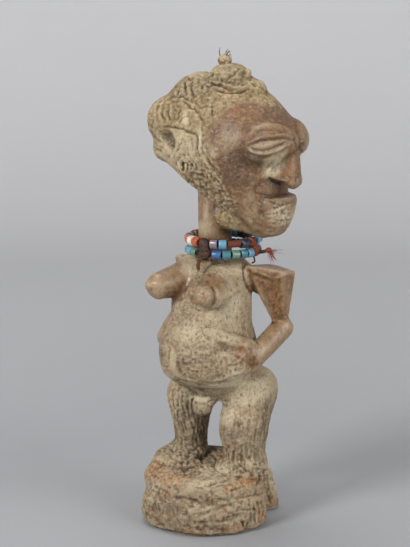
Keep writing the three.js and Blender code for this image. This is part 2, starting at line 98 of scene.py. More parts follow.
# The drawing: a sheet of 410 by 547 units on which the tool marks are laid out, seen from this eye
DRAWING_SIZE = (410, 547)
DRAWING_UNIT = 0.66
EYE_DISTANCE = 1200
EYE_AZIMUTH = math.radians(38)
EYE_ELEVATION = math.radians(11.7)
DRAWING_ACROSS = np.array([math.cos(EYE_AZIMUTH), math.sin(EYE_AZIMUTH), 0])
TO_EYE = np.array([
    math.sin(EYE_AZIMUTH) * math.cos(EYE_ELEVATION),
    -math.cos(EYE_AZIMUTH) * math.cos(EYE_ELEVATION),
    math.sin(EYE_ELEVATION),
])
DRAWING_UP = np.cross(TO_EYE, DRAWING_ACROSS)
DRAWING_CENTRE = np.array([0, 0, 168]) - 8 * DRAWING_UNIT * DRAWING_ACROSS
EYE = DRAWING_CENTRE + EYE_DISTANCE * TO_EYE

# The lights: name, setting of the power, size, and place across, towards the eye and up, all in metres
LIGHTS = (
    ("key_light", "key_power", 0.4, (-0.85, 0.85, 0.65)),
    ("fill_light", "fill_power", 0.8, (0.9, 0.7, 0.5)),
    ("top_light", "top_power", 0.5, (-0.1, -0.2, 1.2)),
)
LIGHT_AIM = Vector((0, 0, 0.16))

# The floor, in millimetres: the radius of its flat part, of the curve at its edge and of the whole, and
# how high it rises
FLOOR_FLAT = 900
FLOOR_CURVE = 500
FLOOR_RADIUS = 1400
FLOOR_WALL = 1100

# Starts of the random draws
STRING_SEED = 11
BEAD_SEED = 21
CHARGE_SEED = 8
CHARGE_HAIR_SEED = 3

BEAD_COLOURS = ("white", "orange", "brown", "grey", "sky", "navy", "teal", "green", "blue", "black")

# The two turns of the string: height, angle of the start, and the beads and knots with their lengths, in
# millimetres and radians. Each turn starts at the figure's right and runs over its front.
RINGS = {
    "upper": (192.4, 3.63, [
        ("brown", 5), ("orange", 4.5), ("white", 4.5), ("orange", 4.5), ("knot", 7), ("grey", 4.6),
        ("sky", 4.6), ("knot", 8), ("navy", 5.5), ("knot", 6), ("sky", 4.5), ("grey", 4.5), ("navy", 5),
        ("blue", 5), ("brown", 5), ("navy", 5), ("teal", 5), ("brown", 5), ("orange", 5), ("black", 5),
        ("navy", 5), ("brown", 5),
    ]),
    "lower": (185.4, 3.8, [
        ("teal", 4.5), ("sky", 4.5), ("green", 5), ("knot", 10), ("blue", 5.5), ("teal", 5), ("green", 5),
        ("teal", 4.5), ("sky", 4.5), ("knot", 9), ("blue", 5), ("teal", 5), ("green", 5), ("navy", 5),
        ("teal", 5), ("blue", 5), ("green", 5), ("teal", 5), ("navy", 5), ("sky", 5), ("teal", 5),
    ]),
}


def linear(colour):
    """An sRGB hex colour as linear red, green and blue."""
    def channel(value):
        return value / 12.92 if value <= 0.04045 else ((value + 0.055) / 1.055) ** 2.4

    return tuple(channel(int(colour[i:i + 2], 16) / 255) for i in (1, 3, 5))


def colour_property(name, description, colour):
    return FloatVectorProperty(name=name, description=description, subtype="COLOR", size=3, min=0, max=1,
                               default=linear(colour))


class WoodSettings(PropertyGroup):
    """Fineness and colours of the carved wood."""
    step: FloatProperty(name="Step", default=0.7, min=0.5, max=3,
                        description="Spacing of the samples that the carving is worked out on, in mm")
    triangles: IntProperty(name="Triangles", description="Triangles that the carving keeps", default=195000,
                           min=5000, max=199000)
    relief: FloatProperty(name="Relief", description="Depth of the tool marks and of the weathering",
                          default=1, min=0, max=1.5, subtype="FACTOR")
    seed: IntProperty(name="Seed", description="Start of the random weathering", default=5, min=0)
    warm: colour_property("Warm stain", "Brown that has soaked into the bare wood in patches", "#704a25")
    dry_wood: colour_property("Dry wood", "Bare dry wood", "#867458")
    dry_wood_light: colour_property("Light dry wood", "Lighter parts of the bare wood", "#a6967b")
    grain: colour_property("Grain", "Dark lines of the grain", "#574329")
    hair: colour_property("Hair", "Dusty wood of the carved hair", "#7a643b")
    polished: colour_property("Polished wood", "Wood that hands have polished", "#74440e")
    polished_dark: colour_property("Dark polished wood", "Darker parts of the polished wood", "#452909")
    face: colour_property("Face", "Stained wood of the face", "#664525")
    face_red: colour_property("Red of the face", "Redder parts of the face", "#54311b")
    ochre: colour_property("Ochre", "Red earth rubbed into the wood", "#98663d")
    # Also paints shade: the dark patches that stand for shadow take this colour.
    stain_and_painted_shade: colour_property("Stain", "Dark stains", "#3a2717")
    # Also paints light: the pale patches that stand for lit spots and highlights take this colour.
    bleached_and_painted_light: colour_property("Bleached wood", "Worn edges and bleached patches", "#bfb092")
    # Darkens the hollows, as soiling and as painted shade.
    dirt_and_painted_shade: colour_property("Dirt", "Dirt in the hollows", "#2c2119")
    dry_roughness: FloatProperty(name="Dry roughness", description="Roughness of the bare wood", default=0.8,
                                 min=0, max=1, subtype="FACTOR")
    polished_roughness: FloatProperty(name="Polished roughness", description="Roughness of the polished wood",
                                      default=0.32, min=0, max=1, subtype="FACTOR")


class NecklaceSettings(PropertyGroup):
    """Sizes and colours of the beads, their string and the charge."""
    ring_radius: FloatProperty(name="Ring radius", description="Radius of each turn of the string",
                               default=RING_RADIUS * MM, min=0.02, max=0.026, unit="LENGTH")
    bead_radius: FloatProperty(name="Bead radius", description="Radius of a bead of the lower turn",
                               default=BEAD_RADIUS * MM, min=0.002, max=0.0035, unit="LENGTH")
    string_radius: FloatProperty(name="String radius", description="Radius of the string",
                                 default=STRING_RADIUS * MM, min=0.0004, max=0.0012, unit="LENGTH")
    white: colour_property("White bead", "Opaque white glass", "#dfcfbd")
    orange: colour_property("Orange bead", "Opaque brick-orange glass", "#a94a26")
    brown: colour_property("Brown bead", "Dark brown glass", "#5f3a25")
    grey: colour_property("Grey bead", "Mauve-grey glass", "#6f6673")
    sky: colour_property("Light blue bead", "Light blue glass", "#5a93ad")
    navy: colour_property("Dark blue bead", "Dark blue glass", "#1d2740")
    teal: colour_property("Teal bead", "Greenish blue glass", "#35707f")
    green: colour_property("Green bead", "Grey-green glass", "#5a7a69")
    blue: colour_property("Blue bead", "Strong blue glass", "#1d5787")
    black: colour_property("Black bead", "Black glass", "#1c1d22")
    fibre_dark: colour_property("Dark fibre", "Old greasy fibre of the string", "#2c1e16")
    fibre_orange: colour_property("Orange fibre", "Bare fibre of the frayed ends", "#9a4c26")
    resin: colour_property("Charge", "Earth and resin of the charge", "#9c8867")
    resin_dark: colour_property("Dark charge", "Dark parts of the charge", "#5b4632")


class StageSettings(PropertyGroup):
    """The floor, the lights and the surroundings."""
    floor: colour_property("Floor", "Plain floor", "#909193")
    # The floor is painted towards this colour further out, as painted light.
    backdrop: colour_property("Backdrop", "Outer end of the floor and the backdrop", "#d2d2d4")
    key_power: FloatProperty(name="Key light", description="Power of the main light",
                             default=16, min=0, unit="POWER")
    fill_power: FloatProperty(name="Fill light", description="Power of the light on the right",
                              default=9.5, min=0, unit="POWER")
    top_power: FloatProperty(name="Top light", description="Power of the light above and behind",
                             default=6, min=0, unit="POWER")
    air: colour_property("Surroundings", "Colour of the light from all around", "#c6c5c3")
    air_strength: FloatProperty(name="Surroundings strength", default=0.37, min=0, max=3,
                                description="Strength of the light from all around")


Form = namedtuple("Form", "low high distance")


def smoothstep(low, high, value):
    t = np.clip((value - low) / (high - low), 0, 1)
    return t * t * (3 - 2 * t)


def soft_min(a, b, edge):
    low = np.minimum(a, b)
    if edge <= 0:
        return low
    share = np.maximum(edge - np.abs(a - b), 0) / edge
    return low - share * share * edge * 0.25


def soft_max(a, b, edge):
    return -soft_min(-a, -b, edge)


def length3(x, y, z):
    return np.sqrt(x * x + y * y + z * z)


# Forms: each is a signed distance, negative inside, with the box that it fills

def egg_distance(x, y, z, rx, ry, rz):
    near = length3(x / rx, y / ry, z / rz)
    steep = length3(x / rx ** 2, y / ry ** 2, z / rz ** 2)
    return near * (near - 1) / np.maximum(steep, 1e-6)


def placed(centre, turn, reach, local):
    """A form in a frame of its own, turned by degrees about X, Y and Z."""
    rx, ry, rz = (Matrix.Rotation(math.radians(angle), 3, axis) for angle, axis in zip(turn, "XYZ"))
    r = np.array(rx @ ry @ rz).T
    c = np.array(centre, float)
    offset = -r @ c

    def distance(x, y, z):
        return local(*(r[i, 0] * x + r[i, 1] * y + r[i, 2] * z + offset[i] for i in range(3)))

    return Form(c - reach, c + reach, distance)


def egg(centre, radii, turn=(0, 0, 0)):
    return placed(centre, turn, max(radii), lambda x, y, z: egg_distance(x, y, z, *radii))


def block(centre, half, edge, turn=(0, 0, 0), taper=0):
    """A block with rounded edges; taper narrows its top, as a share of its half sizes."""
    hx, hy, hz = half

    def local(x, y, z):
        share = 1 - taper * np.clip(z / hz, -1, 1)
        qx = np.abs(x) - hx * share + edge
        qy = np.abs(y) - hy * share + edge
        qz = np.abs(z) - hz + edge
        outside = length3(np.maximum(qx, 0), np.maximum(qy, 0), np.maximum(qz, 0))
        return outside + np.minimum(np.maximum(np.maximum(qx, qy), qz), 0) - edge

    return placed(centre, turn, length3(hx, hy, hz) * (1 + abs(taper)), local)


def limb(start, end, radius_start, radius_end):
    """A rod from one point to another whose radius changes along it."""
    a = np.array(start, float)
    along = np.array(end, float) - a
    squared = along @ along
    reach = max(radius_start, radius_end)

    def distance(x, y, z):
        px, py, pz = x - a[0], y - a[1], z - a[2]
        t = np.clip((px * along[0] + py * along[1] + pz * along[2]) / squared, 0, 1)
        away = length3(px - along[0] * t, py - along[1] * t, pz - along[2] * t)
        return away - (radius_start + (radius_end - radius_start) * t)

    return Form(np.minimum(a, a + along) - reach, np.maximum(a, a + along) + reach, distance)


def chain(points):
    """A chain of limbs through points given as (x, y, z, radius)."""
    parts = [limb(a[:3], b[:3], a[3], b[3]) for a, b in zip(points, points[1:])]
    return union(parts)


def union(parts, edge=0):
    def distance(x, y, z):
        found = parts[0].distance(x, y, z)
        for part in parts[1:]:
            found = soft_min(found, part.distance(x, y, z), edge)
        return found

    return Form(np.min([p.low for p in parts], 0), np.max([p.high for p in parts], 0), distance)


def common(parts, edge=0):
    """What several forms have in common, with a soft edge between them."""
    def distance(x, y, z):
        found = parts[0].distance(x, y, z)
        for part in parts[1:]:
            found = soft_max(found, part.distance(x, y, z), edge)
        return found

    return Form(np.max([p.low for p in parts], 0), np.min([p.high for p in parts], 0), distance)


def smooth_curve(points):
    """A smooth curve through (position, value) points."""
    at = np.array([p[0] for p in points], float)
    value = np.array([p[1] for p in points], float)
    last = len(points) - 1
    before = np.maximum(np.arange(len(points)) - 1, 0)
    after = np.minimum(np.arange(len(points)) + 1, last)
    slope = (value[after] - value[before]) / (at[after] - at[before])

    def curve(position):
        position = np.clip(position, at[0], at[-1])
        i = np.clip(np.searchsorted(at, position, side="left") - 1, 0, last - 1)
        step = at[i + 1] - at[i]
        t = (position - at[i]) / step
        t2 = t * t
        t3 = t2 * t
        return ((2 * t3 - 3 * t2 + 1) * value[i] + (t3 - 2 * t2 + t) * step * slope[i]
                + (3 * t2 - 2 * t3) * value[i + 1] + (t3 - t2) * step * slope[i + 1])

    return curve


def column(levels):
    """A column whose oval section follows levels given as (z, centre x, centre y, half x, half y)."""
    curves = [smooth_curve([(level[0], level[i]) for level in levels]) for i in (1, 2, 3, 4)]
    bottom, top = levels[0][0], levels[-1][0]
    reach_x = max(abs(level[1]) + level[3] for level in levels) + 3
    reach_y = max(abs(level[2]) + level[4] for level in levels) + 3

    def distance(x, y, z):
        cx, cy, hx, hy = (curve(z) for curve in curves)
        side = egg_distance(x - cx, y - cy, 0 * z, hx, hy, 1)
        return np.maximum(np.maximum(side, bottom - z), z - top)

    return Form(np.array([-reach_x, -reach_y, bottom]), np.array([reach_x, reach_y, top]), distance)


def beyond(point, normal):
    """The space beyond a plane through a point, on the side that its normal points to."""
    n = np.array(normal, float) / np.linalg.norm(normal)
    offset = n @ np.array(point, float)
    return Form(np.array(FIELD_LOW), np.array(FIELD_HIGH),
                lambda x, y, z: offset - n[0] * x - n[1] * y - n[2] * z)


def post(top, bottom, edge):
    """A post with flat sides between two outlines that have the same number of corners."""
    corners = np.array(list(top) + list(bottom), float)
    centre = corners.mean(0)
    faces = [(top[i], top[(i + 1) % len(top)], bottom[i]) for i in range(len(top))] + [top[:3], bottom[:3]]
    planes = []
    for face in faces:
        a, b, c = (np.array(corner, float) for corner in face)
        n = np.cross(b - a, c - a)
        n /= np.linalg.norm(n)
        if n @ (centre - a) > 0:
            n = -n
        planes.append((n, n @ a))

    def distance(x, y, z):
        found = None
        for n, offset in planes:
            side = n[0] * x + n[1] * y + n[2] * z - offset
            found = side if found is None else soft_max(found, side, edge)
        return found

    return Form(corners.min(0), corners.max(0), distance)


def swollen(part, by):
    return Form(part.low - by, part.high + by, lambda x, y, z: part.distance(x, y, z) - by)


def outside(part):
    """The space around a form, inside the box of the carving."""
    return Form(np.array(FIELD_LOW), np.array(FIELD_HIGH), lambda x, y, z: -part.distance(x, y, z))


def in_head(part):
    """A form given in the head's own frame: forward, to the head's left, up."""
    cos, sin = math.cos(math.radians(HEAD_TURN)), math.sin(math.radians(HEAD_TURN))
    xs = [part.low[0], part.high[0]]
    ys = [part.low[1], part.high[1]]
    spots = np.array([(cos * x - sin * y, sin * x + cos * y) for x in xs for y in ys])
    low = np.array([*spots.min(0), part.low[2]])
    high = np.array([*spots.max(0), part.high[2]])
    return Form(low, high, lambda x, y, z: part.distance(cos * x + sin * y, cos * y - sin * x, z))


class Carving:
    """The block of wood that the forms are added to and cut from, sampled on a grid."""

    def __init__(self, step):
        self.step = step
        self.axes = [np.arange(low, high + step, step, dtype=np.float32)
                     for low, high in zip(FIELD_LOW, FIELD_HIGH)]
        self.field = np.full([len(axis) for axis in self.axes], FAR, np.float32)

    def change(self, part, edge, rule):
        margin = edge + 4
        cut = tuple(
            slice(int(np.clip((part.low[i] - margin - FIELD_LOW[i]) / self.step, 0, len(self.axes[i]))),
                  int(np.clip((part.high[i] + margin - FIELD_LOW[i]) / self.step + 2, 0, len(self.axes[i]))))
            for i in range(3))
        x = self.axes[0][cut[0]][:, None, None]
        y = self.axes[1][cut[1]][None, :, None]
        z = self.axes[2][cut[2]][None, None, :]
        self.field[cut] = rule(self.field[cut], part.distance(x, y, z))

    def add(self, part, edge=0):
        self.change(part, edge, lambda wood, distance: soft_min(wood, distance, edge))

    def cut(self, part, edge=0):
        self.change(part, edge, lambda wood, distance: soft_max(wood, -distance, edge))

    def surface(self):
        """(vertices, quads) of the surface, one vertex in each cell that it crosses."""
        inside = self.field < 0
        count = np.zeros(np.array(inside.shape) - 1, np.uint8)
        offsets = [(i, j, k) for i in (0, 1) for j in (0, 1) for k in (0, 1)]
        shape = count.shape
        for i, j, k in offsets:
            count += inside[i:i + shape[0], j:j + shape[1], k:k + shape[2]]
        cells = np.argwhere((count > 0) & (count < 8))
        index = np.full(shape, -1, np.int32)
        index[tuple(cells.T)] = np.arange(len(cells))
        values = {o: self.field[tuple((cells + o).T)] for o in offsets}
        total = np.zeros((len(cells), 3))
        crossings = np.zeros(len(cells))
        for o in offsets:
            for axis in range(3):
                if o[axis] == 0:
                    other = tuple(1 if a == axis else v for a, v in enumerate(o))
                    a, b = values[o], values[other]
                    crossed = (a < 0) != (b < 0)
                    t = np.where(crossed, a / np.where(crossed, a - b, 1), 0)
                    place = np.array(o, float) + np.outer(t, np.eye(3)[axis])
                    total += place * crossed[:, None]
                    crossings += crossed
        vertices = (cells + total / crossings[:, None]) * self.step + np.array(FIELD_LOW)
        quads = []
        for axis in range(3):
            first, second = [a for a in range(3) if a != axis]
            low = inside[tuple(slice(None, -1) if a == axis else slice(1, -1) for a in range(3))]
            high = inside[tuple(slice(1, None) if a == axis else slice(1, -1) for a in range(3))]
            for flip, mask in ((False, low & ~high), (True, high & ~low)):
                at = np.argwhere(mask)
                at[:, [first, second]] += 1
                ring = []
                for du, dv in ((0, 0), (-1, 0), (-1, -1), (0, -1)):
                    spot = at.copy()
                    spot[:, first] += du
                    spot[:, second] += dv
                    ring.append(index[tuple(spot.T)])
                quad = np.stack(ring, 1)
                quads.append(quad[:, ::-1] if flip != (axis == 1) else quad)
        return vertices, np.concatenate(quads)


class HeadFrame:
    """The carving in the head's own frame, where places are given forward, to the head's left and up."""

    def __init__(self, wood):
        self.wood = wood

    def add(self, part, edge=0):
        self.wood.add(in_head(part), edge)

    def cut(self, part, edge=0):
        self.wood.cut(in_head(part), edge)


# The carved forms

def carve_base(wood):
    """The drum that the figure stands on: an uneven round with a ledge, and a lobe behind the left foot."""
    def distance(x, y, z):
        dx, dy = x - BASE_CENTRE[0], y - BASE_CENTRE[1]
        angle = np.arctan2(dy, dx)
        away = np.sqrt(dx * dx + dy * dy)
        outline = BASE_RADIUS + 1.2 * np.cos(5 * (angle + 1.08)) + 0.8 * np.cos(3 * angle)
        ledge = 19 + 4 * np.sin(angle + 2) + 2 * np.sin(3 * angle + 1)
        flare = (2.4 * smoothstep(ledge + 5, ledge - 4, z) - 3 * smoothstep(3, 0, z)
                 - 2 * smoothstep(26, BASE_HEIGHT, z))
        top = BASE_HEIGHT + 2.5 + 0.09 * y - 0.06 * x
        return soft_max(away - outline - flare, z - top, 9)

    wood.add(Form(np.array([-50, -50, -5]), np.array([50, 50, BASE_HEIGHT + 3]), distance))
    wood.add(egg((-29, -17, 29), (12, 14, 11)), 5)
    wood.add(block((10.5, 33, 12), (14, 11, 18), 8, (0, 0, 66), 0.14), 2)


def carve_legs(wood):
    for side in (-1, 1):
        worn = 0.76 if side < 0 else 1
        x = 20.5 * side
        back = -5 if side < 0 else 0
        wood.add(column([
            (BASE_HEIGHT - 12, x, 4, 14 * worn, 19),
            (46, x, 8 + back, 12.8 * worn, 15.5 * worn),
            (KNEE_HEIGHT, x, 7.5 + back, 15 * worn, 18.7 * worn),
            (HIP_HEIGHT - 6, x - 2.5 if side < 0 else x, 12 + back, 16.5, 18),
            (HIP_HEIGHT + 10, x * 0.85, 8, 15, 17),
        ]), 4)
        wood.add(egg((20 * side, 17, HIP_HEIGHT + 2), (17, 17.5, 16)), 6)
    wood.add(egg((21, 1, BASE_HEIGHT), (13.5, 14, 3)), 12)
    wood.add(egg((-24, -8, BASE_HEIGHT + 2), (15, 18, 9)), 8)
    wood.add(egg((-14, -14, BASE_HEIGHT), (12, 10, 7)), 5)


def trunk_form():
    """The trunk with its pot belly, whose underside is cut off flat."""
    trunk = column([
        (HIP_HEIGHT - 4, 0, 9, 26, 17),
        (HIP_HEIGHT + 10, 0, 3, 29, 22),
        (BELLY_HEIGHT + 5, 0, -1, 30, 26),
        (BELLY_HEIGHT + 27, 0, -2, 28, 24.5),
        (CHEST_HEIGHT - 6, 0, -1, 28.5, 22.5),
        (CHEST_HEIGHT + 8, 0, 2, 29, 19),
        (SHOULDER_HEIGHT + 3, 0, 3, 26, 16),
        (SHOULDER_HEIGHT + 7, 0, 3, 18, 13),
    ])
    belly = common([
        egg((0, -4, BELLY_HEIGHT + 4), (31.5, 32.5, 34)),
        beyond((0, -20, BELLY_HEIGHT - 17), (0, 0.1, 1)),
    ], 5)
    return Form(np.array([-36, -42, HIP_HEIGHT - 6]), np.array([36, 36, SHOULDER_HEIGHT + 8]),
                union([trunk, belly], 3).distance)


def carve_trunk(wood, trunk):
    wood.add(trunk, 3)
    wood.add(limb((0, -8, HIP_HEIGHT - 3), (0, -12, HIP_HEIGHT - 8), 7.5, 6.2), 4)


def carve_breasts(wood):
    wood.add(limb((-14, -11, CHEST_HEIGHT + 1), (-21.5, -29, CHEST_HEIGHT - 2), 12, 9), 4)
    wood.add(limb((-22, -31, CHEST_HEIGHT - 2), (-24, -37, CHEST_HEIGHT - 1), 6.8, 2.8), 3)
    wood.add(limb((14, -11, CHEST_HEIGHT + 1), (19, -27, CHEST_HEIGHT - 3.5), 12.4, 8.8), 4)
    wood.add(limb((19.2, -30.5, CHEST_HEIGHT - 3), (19.4, -33, CHEST_HEIGHT - 2.6), 7.9, 7), 1.2)


def carve_arms(wood, trunk):
    """The arms are set back, with flat facets, bent at the elbow; the hands lie on the belly."""
    for side in (-1, 1):
        def over(points):
            return [(x * side, y, z) for x, y, z in points]

        top = over([(26, -3, 178), (46, 16, 173), (46.5, 30, 171), (26, 31, 175)])
        bottom = over([(34, 16, 131), (43, 15, 129), (46.5, 24, 128), (37, 30, 131)])
        wood.add(post(top, bottom, 2.5), 1.5)
        wood.add(limb((25 * side, 8, CHEST_HEIGHT + 4), (29 * side, 12, CHEST_HEIGHT - 4), 6, 4), 2)
        wrist = (-34, -6, 121) if side < 0 else (35, -1, 117)
        wood.add(limb((40.5 * side, 22.5, 137 if side < 0 else 133), wrist, 7.4, 7.2), 2)
        palm = chain([(*wrist, 8), (28 * side, -20, 114, 11), (10 * side, -34, 113, 12.5),
                      (4 * side, -36, 112, 10)])
        layer = hand_layer(trunk, 1.3) if side > 0 else swollen(trunk, 1.6)
        wood.add(common([layer, palm], 2.5), 1.5)
    wood.add(common([hand_layer(trunk, 1.3), limb((34, -7, 124), (16, -28, 137), 6.5, 2.4)], 1), 2)


def hand_layer(trunk, thick):
    """The wood just outside the trunk, thin over the belly and thicker towards the wrists."""
    def distance(x, y, z):
        return trunk.distance(x, y, z) - thick - 6 * smoothstep(22, 36, np.abs(x))

    reach = thick + 6
    return Form(trunk.low - reach, trunk.high + reach, distance)


def carve_neck(wood):
    wood.add(column([
        (SHOULDER_HEIGHT - 4, 1, 2, NECK_RADIUS + 3, NECK_RADIUS + 1),
        (SHOULDER_HEIGHT + 10, 1, 1, NECK_RADIUS, NECK_RADIUS),
        (HEAD_HEIGHT - 36, 1, 1, NECK_RADIUS, NECK_RADIUS),
        (HEAD_HEIGHT - 20, 1, 1, NECK_RADIUS + 1, NECK_RADIUS),
    ]), 3)


def carve_head(head):
    head.add(egg((9, 0, HEAD_HEIGHT), (HEAD_HALF_LENGTH, HEAD_HALF_WIDTH, CROWN_HEIGHT - HEAD_HEIGHT)))
    head.add(egg((18, 0, HEAD_HEIGHT - 22), (38.5, 28, 36)), 8)
    head.add(egg((40, 0, HEAD_HEIGHT - 49), (15.5, 16, 13)), 8)
    jaw = beyond((5, 0, HEAD_HEIGHT - 32), (-0.57, 0, -1))
    head.cut(Form(np.array([-55, -40, HEAD_HEIGHT - 70]), np.array([60, 40, HEAD_HEIGHT]),
                          jaw.distance), 4)
    head.add(egg((36, 0, HEAD_HEIGHT + 3), (29.5, 27, 16)), 6)
    head.add(egg((41, 0, HEAD_HEIGHT - 51), (13, 13, 10)), 6)
    head.add(limb((8, 0, HEAD_HEIGHT - 50), (38, 0, HEAD_HEIGHT - 51), 9, 9), 5)
    carve_face(head)
    carve_hair(head)


def carve_face(head):
    nose = HEAD_HEIGHT - 22
    mouth = HEAD_HEIGHT - 42
    eye = HEAD_HEIGHT + 4
    for side in (-1, 1):
        head.add(egg((50, 14 * side, eye - 3), (11.5, 15, 12)), 5)
        head.add(egg((56, 13 * side, eye), (6.5, 16, 10), (10 * side, 0, 40 * side)), 2)
        head.cut(egg((61, 21 * side, nose + 2), (9, 9, 10)), 6)
    philtrum = block((34, 0, nose - 4), (18, 19.5, 14), 10)
    head.cut(common([egg((54, 0, nose - 5), (18, 20, 6.5)), outside(philtrum)], 1), 4)
    head.add(post(
        [(64, 3.5, eye + 2), (64, -3.5, eye + 2), (50, -13, eye + 2), (50, 13, eye + 2)],
        [(66.5, 5, nose - 3), (66.5, -5, nose - 3), (51, -14.5, nose + 2), (51, 14.5, nose + 2)],
        2.5,
    ), 1.5)
    head.add(egg((61.5, 0, nose - 0.5), (5.2, 6.5, 5.5)), 1.5)
    head.add(column([
        (mouth - 12, 45, 0, 11, 12),
        (mouth - 3, 42, 0, 18.4, 16.5),
        (mouth + 5, 43, 0, 19, 17.2),
        (mouth + 9, 43, 0, 18.3, 16),
    ]), 1.5)


def carve_hair(head):
    head.add(egg((-8, 0, HEAD_HEIGHT + 12), (27, 23, 30.5)), 5)
    head.add(egg((-28, 0, HEAD_HEIGHT - 8), (14, 20, 11)), 4)
    for side in (-1, 1):
        head.add(egg((-25, 13 * side, HEAD_HEIGHT + 11), (15.5, 14, 16)), 4)
        head.add(egg((0, 24 * side, HEAD_HEIGHT - 2), (13, 9.5, 14)), 2)
        head.cut(egg((-17, 30 * side, HEAD_HEIGHT + 1), (9, 8, 5.5), (0, 25, 0)), 3)
        head.add(egg((-3, 25 * side, HEAD_HEIGHT - 15), (7, 6, 9)), 2)
        head.cut(egg((-3, 31 * side, HEAD_HEIGHT - 15), (2.5, 4, 4)), 1)
    head.add(egg((13, 0, CROWN_HEIGHT + 1), (14, 12.5, 9.5)), 3)
    head.add(egg((25, 0, CROWN_HEIGHT - 5), (14, 12, 7)), 4)
    pocket = CHARGE_RADIUS + 0.4
    head.add(limb((27, -2, CROWN_HEIGHT), (28.5, -2.5, CROWN_HEIGHT + 5.5), 3, 2.3), 1)
    head.cut(egg(CHARGE_PLACE, (pocket, pocket, pocket)))


def carved_surface(step):
    wood = Carving(step)
    carve_head(HeadFrame(wood))
    carve_neck(wood)
    trunk = trunk_form()
    carve_trunk(wood, trunk)
    carve_breasts(wood)
    carve_arms(wood, trunk)
    carve_legs(wood)
    carve_base(wood)
    wood.field = np.maximum(wood.field, -wood.axes[2][None, None, :])
    return wood.surface()


# Tool marks: (height, width, points) in millimetres and, for the points, units of the drawing

HAIR_MARKS = [
    (-0.9, 0.9, [(169, 104), (167.5, 110), (169, 117), (172, 120)]),
    (-0.8, 0.8, [(173, 104), (175, 110), (174, 116), (172, 120)]),
    (0.7, 0.8, [(171, 105), (171.5, 111), (171, 117)]),
    (-1.1, 0.9, [(176, 103), (179, 109), (178, 116), (174, 121)]),
    (-0.9, 0.9, [(165, 104), (162.5, 109), (162, 115), (165, 122)]),
    (-0.8, 0.9, [(159, 104), (156, 112), (158, 121)]),
    (-0.6, 0.9, [(153, 110), (151, 119), (153, 130)]),
    (-1.1, 0.9, [(165, 100), (172, 98), (180, 97), (187, 99), (194, 103), (201, 107)]),
    (-0.9, 0.8, [(170, 102), (180, 101), (187, 104), (191, 109)]),
    (-1.8, 0.8, [(173, 87), (174, 83), (177, 80)]),
    (-1.3, 0.8, [(177, 95), (179, 90)]),
    (-2.0, 0.8, [(184, 81), (185, 87), (186, 94)]),
    (-1.2, 0.8, [(193, 82), (191, 89), (193, 96)]),
    (-1.1, 0.8, [(187, 77), (191, 79), (194, 77)]),
    (-1.0, 0.8, [(199, 78), (199, 84)]),
    (-1.6, 0.8, [(202, 85), (202, 89)]),
    (-1.6, 1.1, [(210, 77), (213, 73)]),
    (-1.0, 0.8, [(203, 86), (210, 86), (216, 84), (222, 86)]),
    (0.8, 0.9, [(208, 81), (216, 82), (226, 85), (236, 88), (246, 86), (252, 82)]),
    (-1.5, 0.9, [(214, 89), (221, 91), (230, 92), (240, 92), (248, 90)]),
    (-0.8, 0.9, [(221, 87), (230, 89), (240, 89)]),
    (-1.0, 1.0, [(189, 107), (196, 111), (200, 117), (204, 123)]),
    (-0.6, 0.9, [(200, 107), (207, 107), (213, 108)]),
    (-0.8, 1.0, [(211, 103), (212, 110), (211, 118)]),
    (-1.2, 1.0, [(160, 127), (168, 127), (177, 128), (184, 130), (190, 132), (195, 134), (197.5, 139),
                 (197.5, 150)]),
    (1.1, 0.8, [(194, 124), (197, 130), (199.5, 136), (200, 143), (200, 151), (203, 157), (208, 164),
                (213, 169)]),
    (-0.6, 1.2, [(178, 137), (174, 145), (171, 153), (167, 160)]),
    (-0.5, 1.0, [(183, 137), (179, 145), (175, 153)]),
    (-1.0, 0.8, [(189, 155), (183, 155), (178.5, 159), (177, 165), (179, 171), (184, 177)]),
    (0.9, 1.2, [(186, 158), (182, 160), (181, 165), (183, 170)]),
    (-2.2, 0.8, [(186, 163), (187, 168), (186.5, 172)]),
    (-1.4, 0.8, [(191, 163), (192, 168)]),
    (-1.5, 0.9, [(149, 131), (153, 137), (158, 141), (161, 142)]),
    (-1.2, 0.9, [(152, 145), (156, 150), (161, 152)]),
    (-1.0, 0.9, [(158, 156), (161, 161), (166, 164)]),
    (-1.0, 0.9, [(183, 174), (188, 179), (194, 184)]),
    (-1.0, 0.9, [(191, 172), (199, 174), (206, 177)]),
    (0.7, 0.8, [(205, 159), (211, 168), (217, 177), (223, 185), (228, 193)]),
    (0.7, 0.8, [(210, 158), (216, 165), (221, 173)]),
    (-0.9, 0.8, [(208, 160), (213, 168), (219, 177)]),
    (-1.2, 0.9, [(240, 68), (235, 73), (231, 78)]),
    (-1.0, 0.9, [(231, 75), (226, 80)]),
    (-1.0, 0.9, [(245, 72), (241, 81)]),
    (-0.7, 0.9, [(252, 84), (262, 88), (270, 97)]),
    (-0.6, 0.9, [(256, 80), (266, 88), (276, 101)]),
]

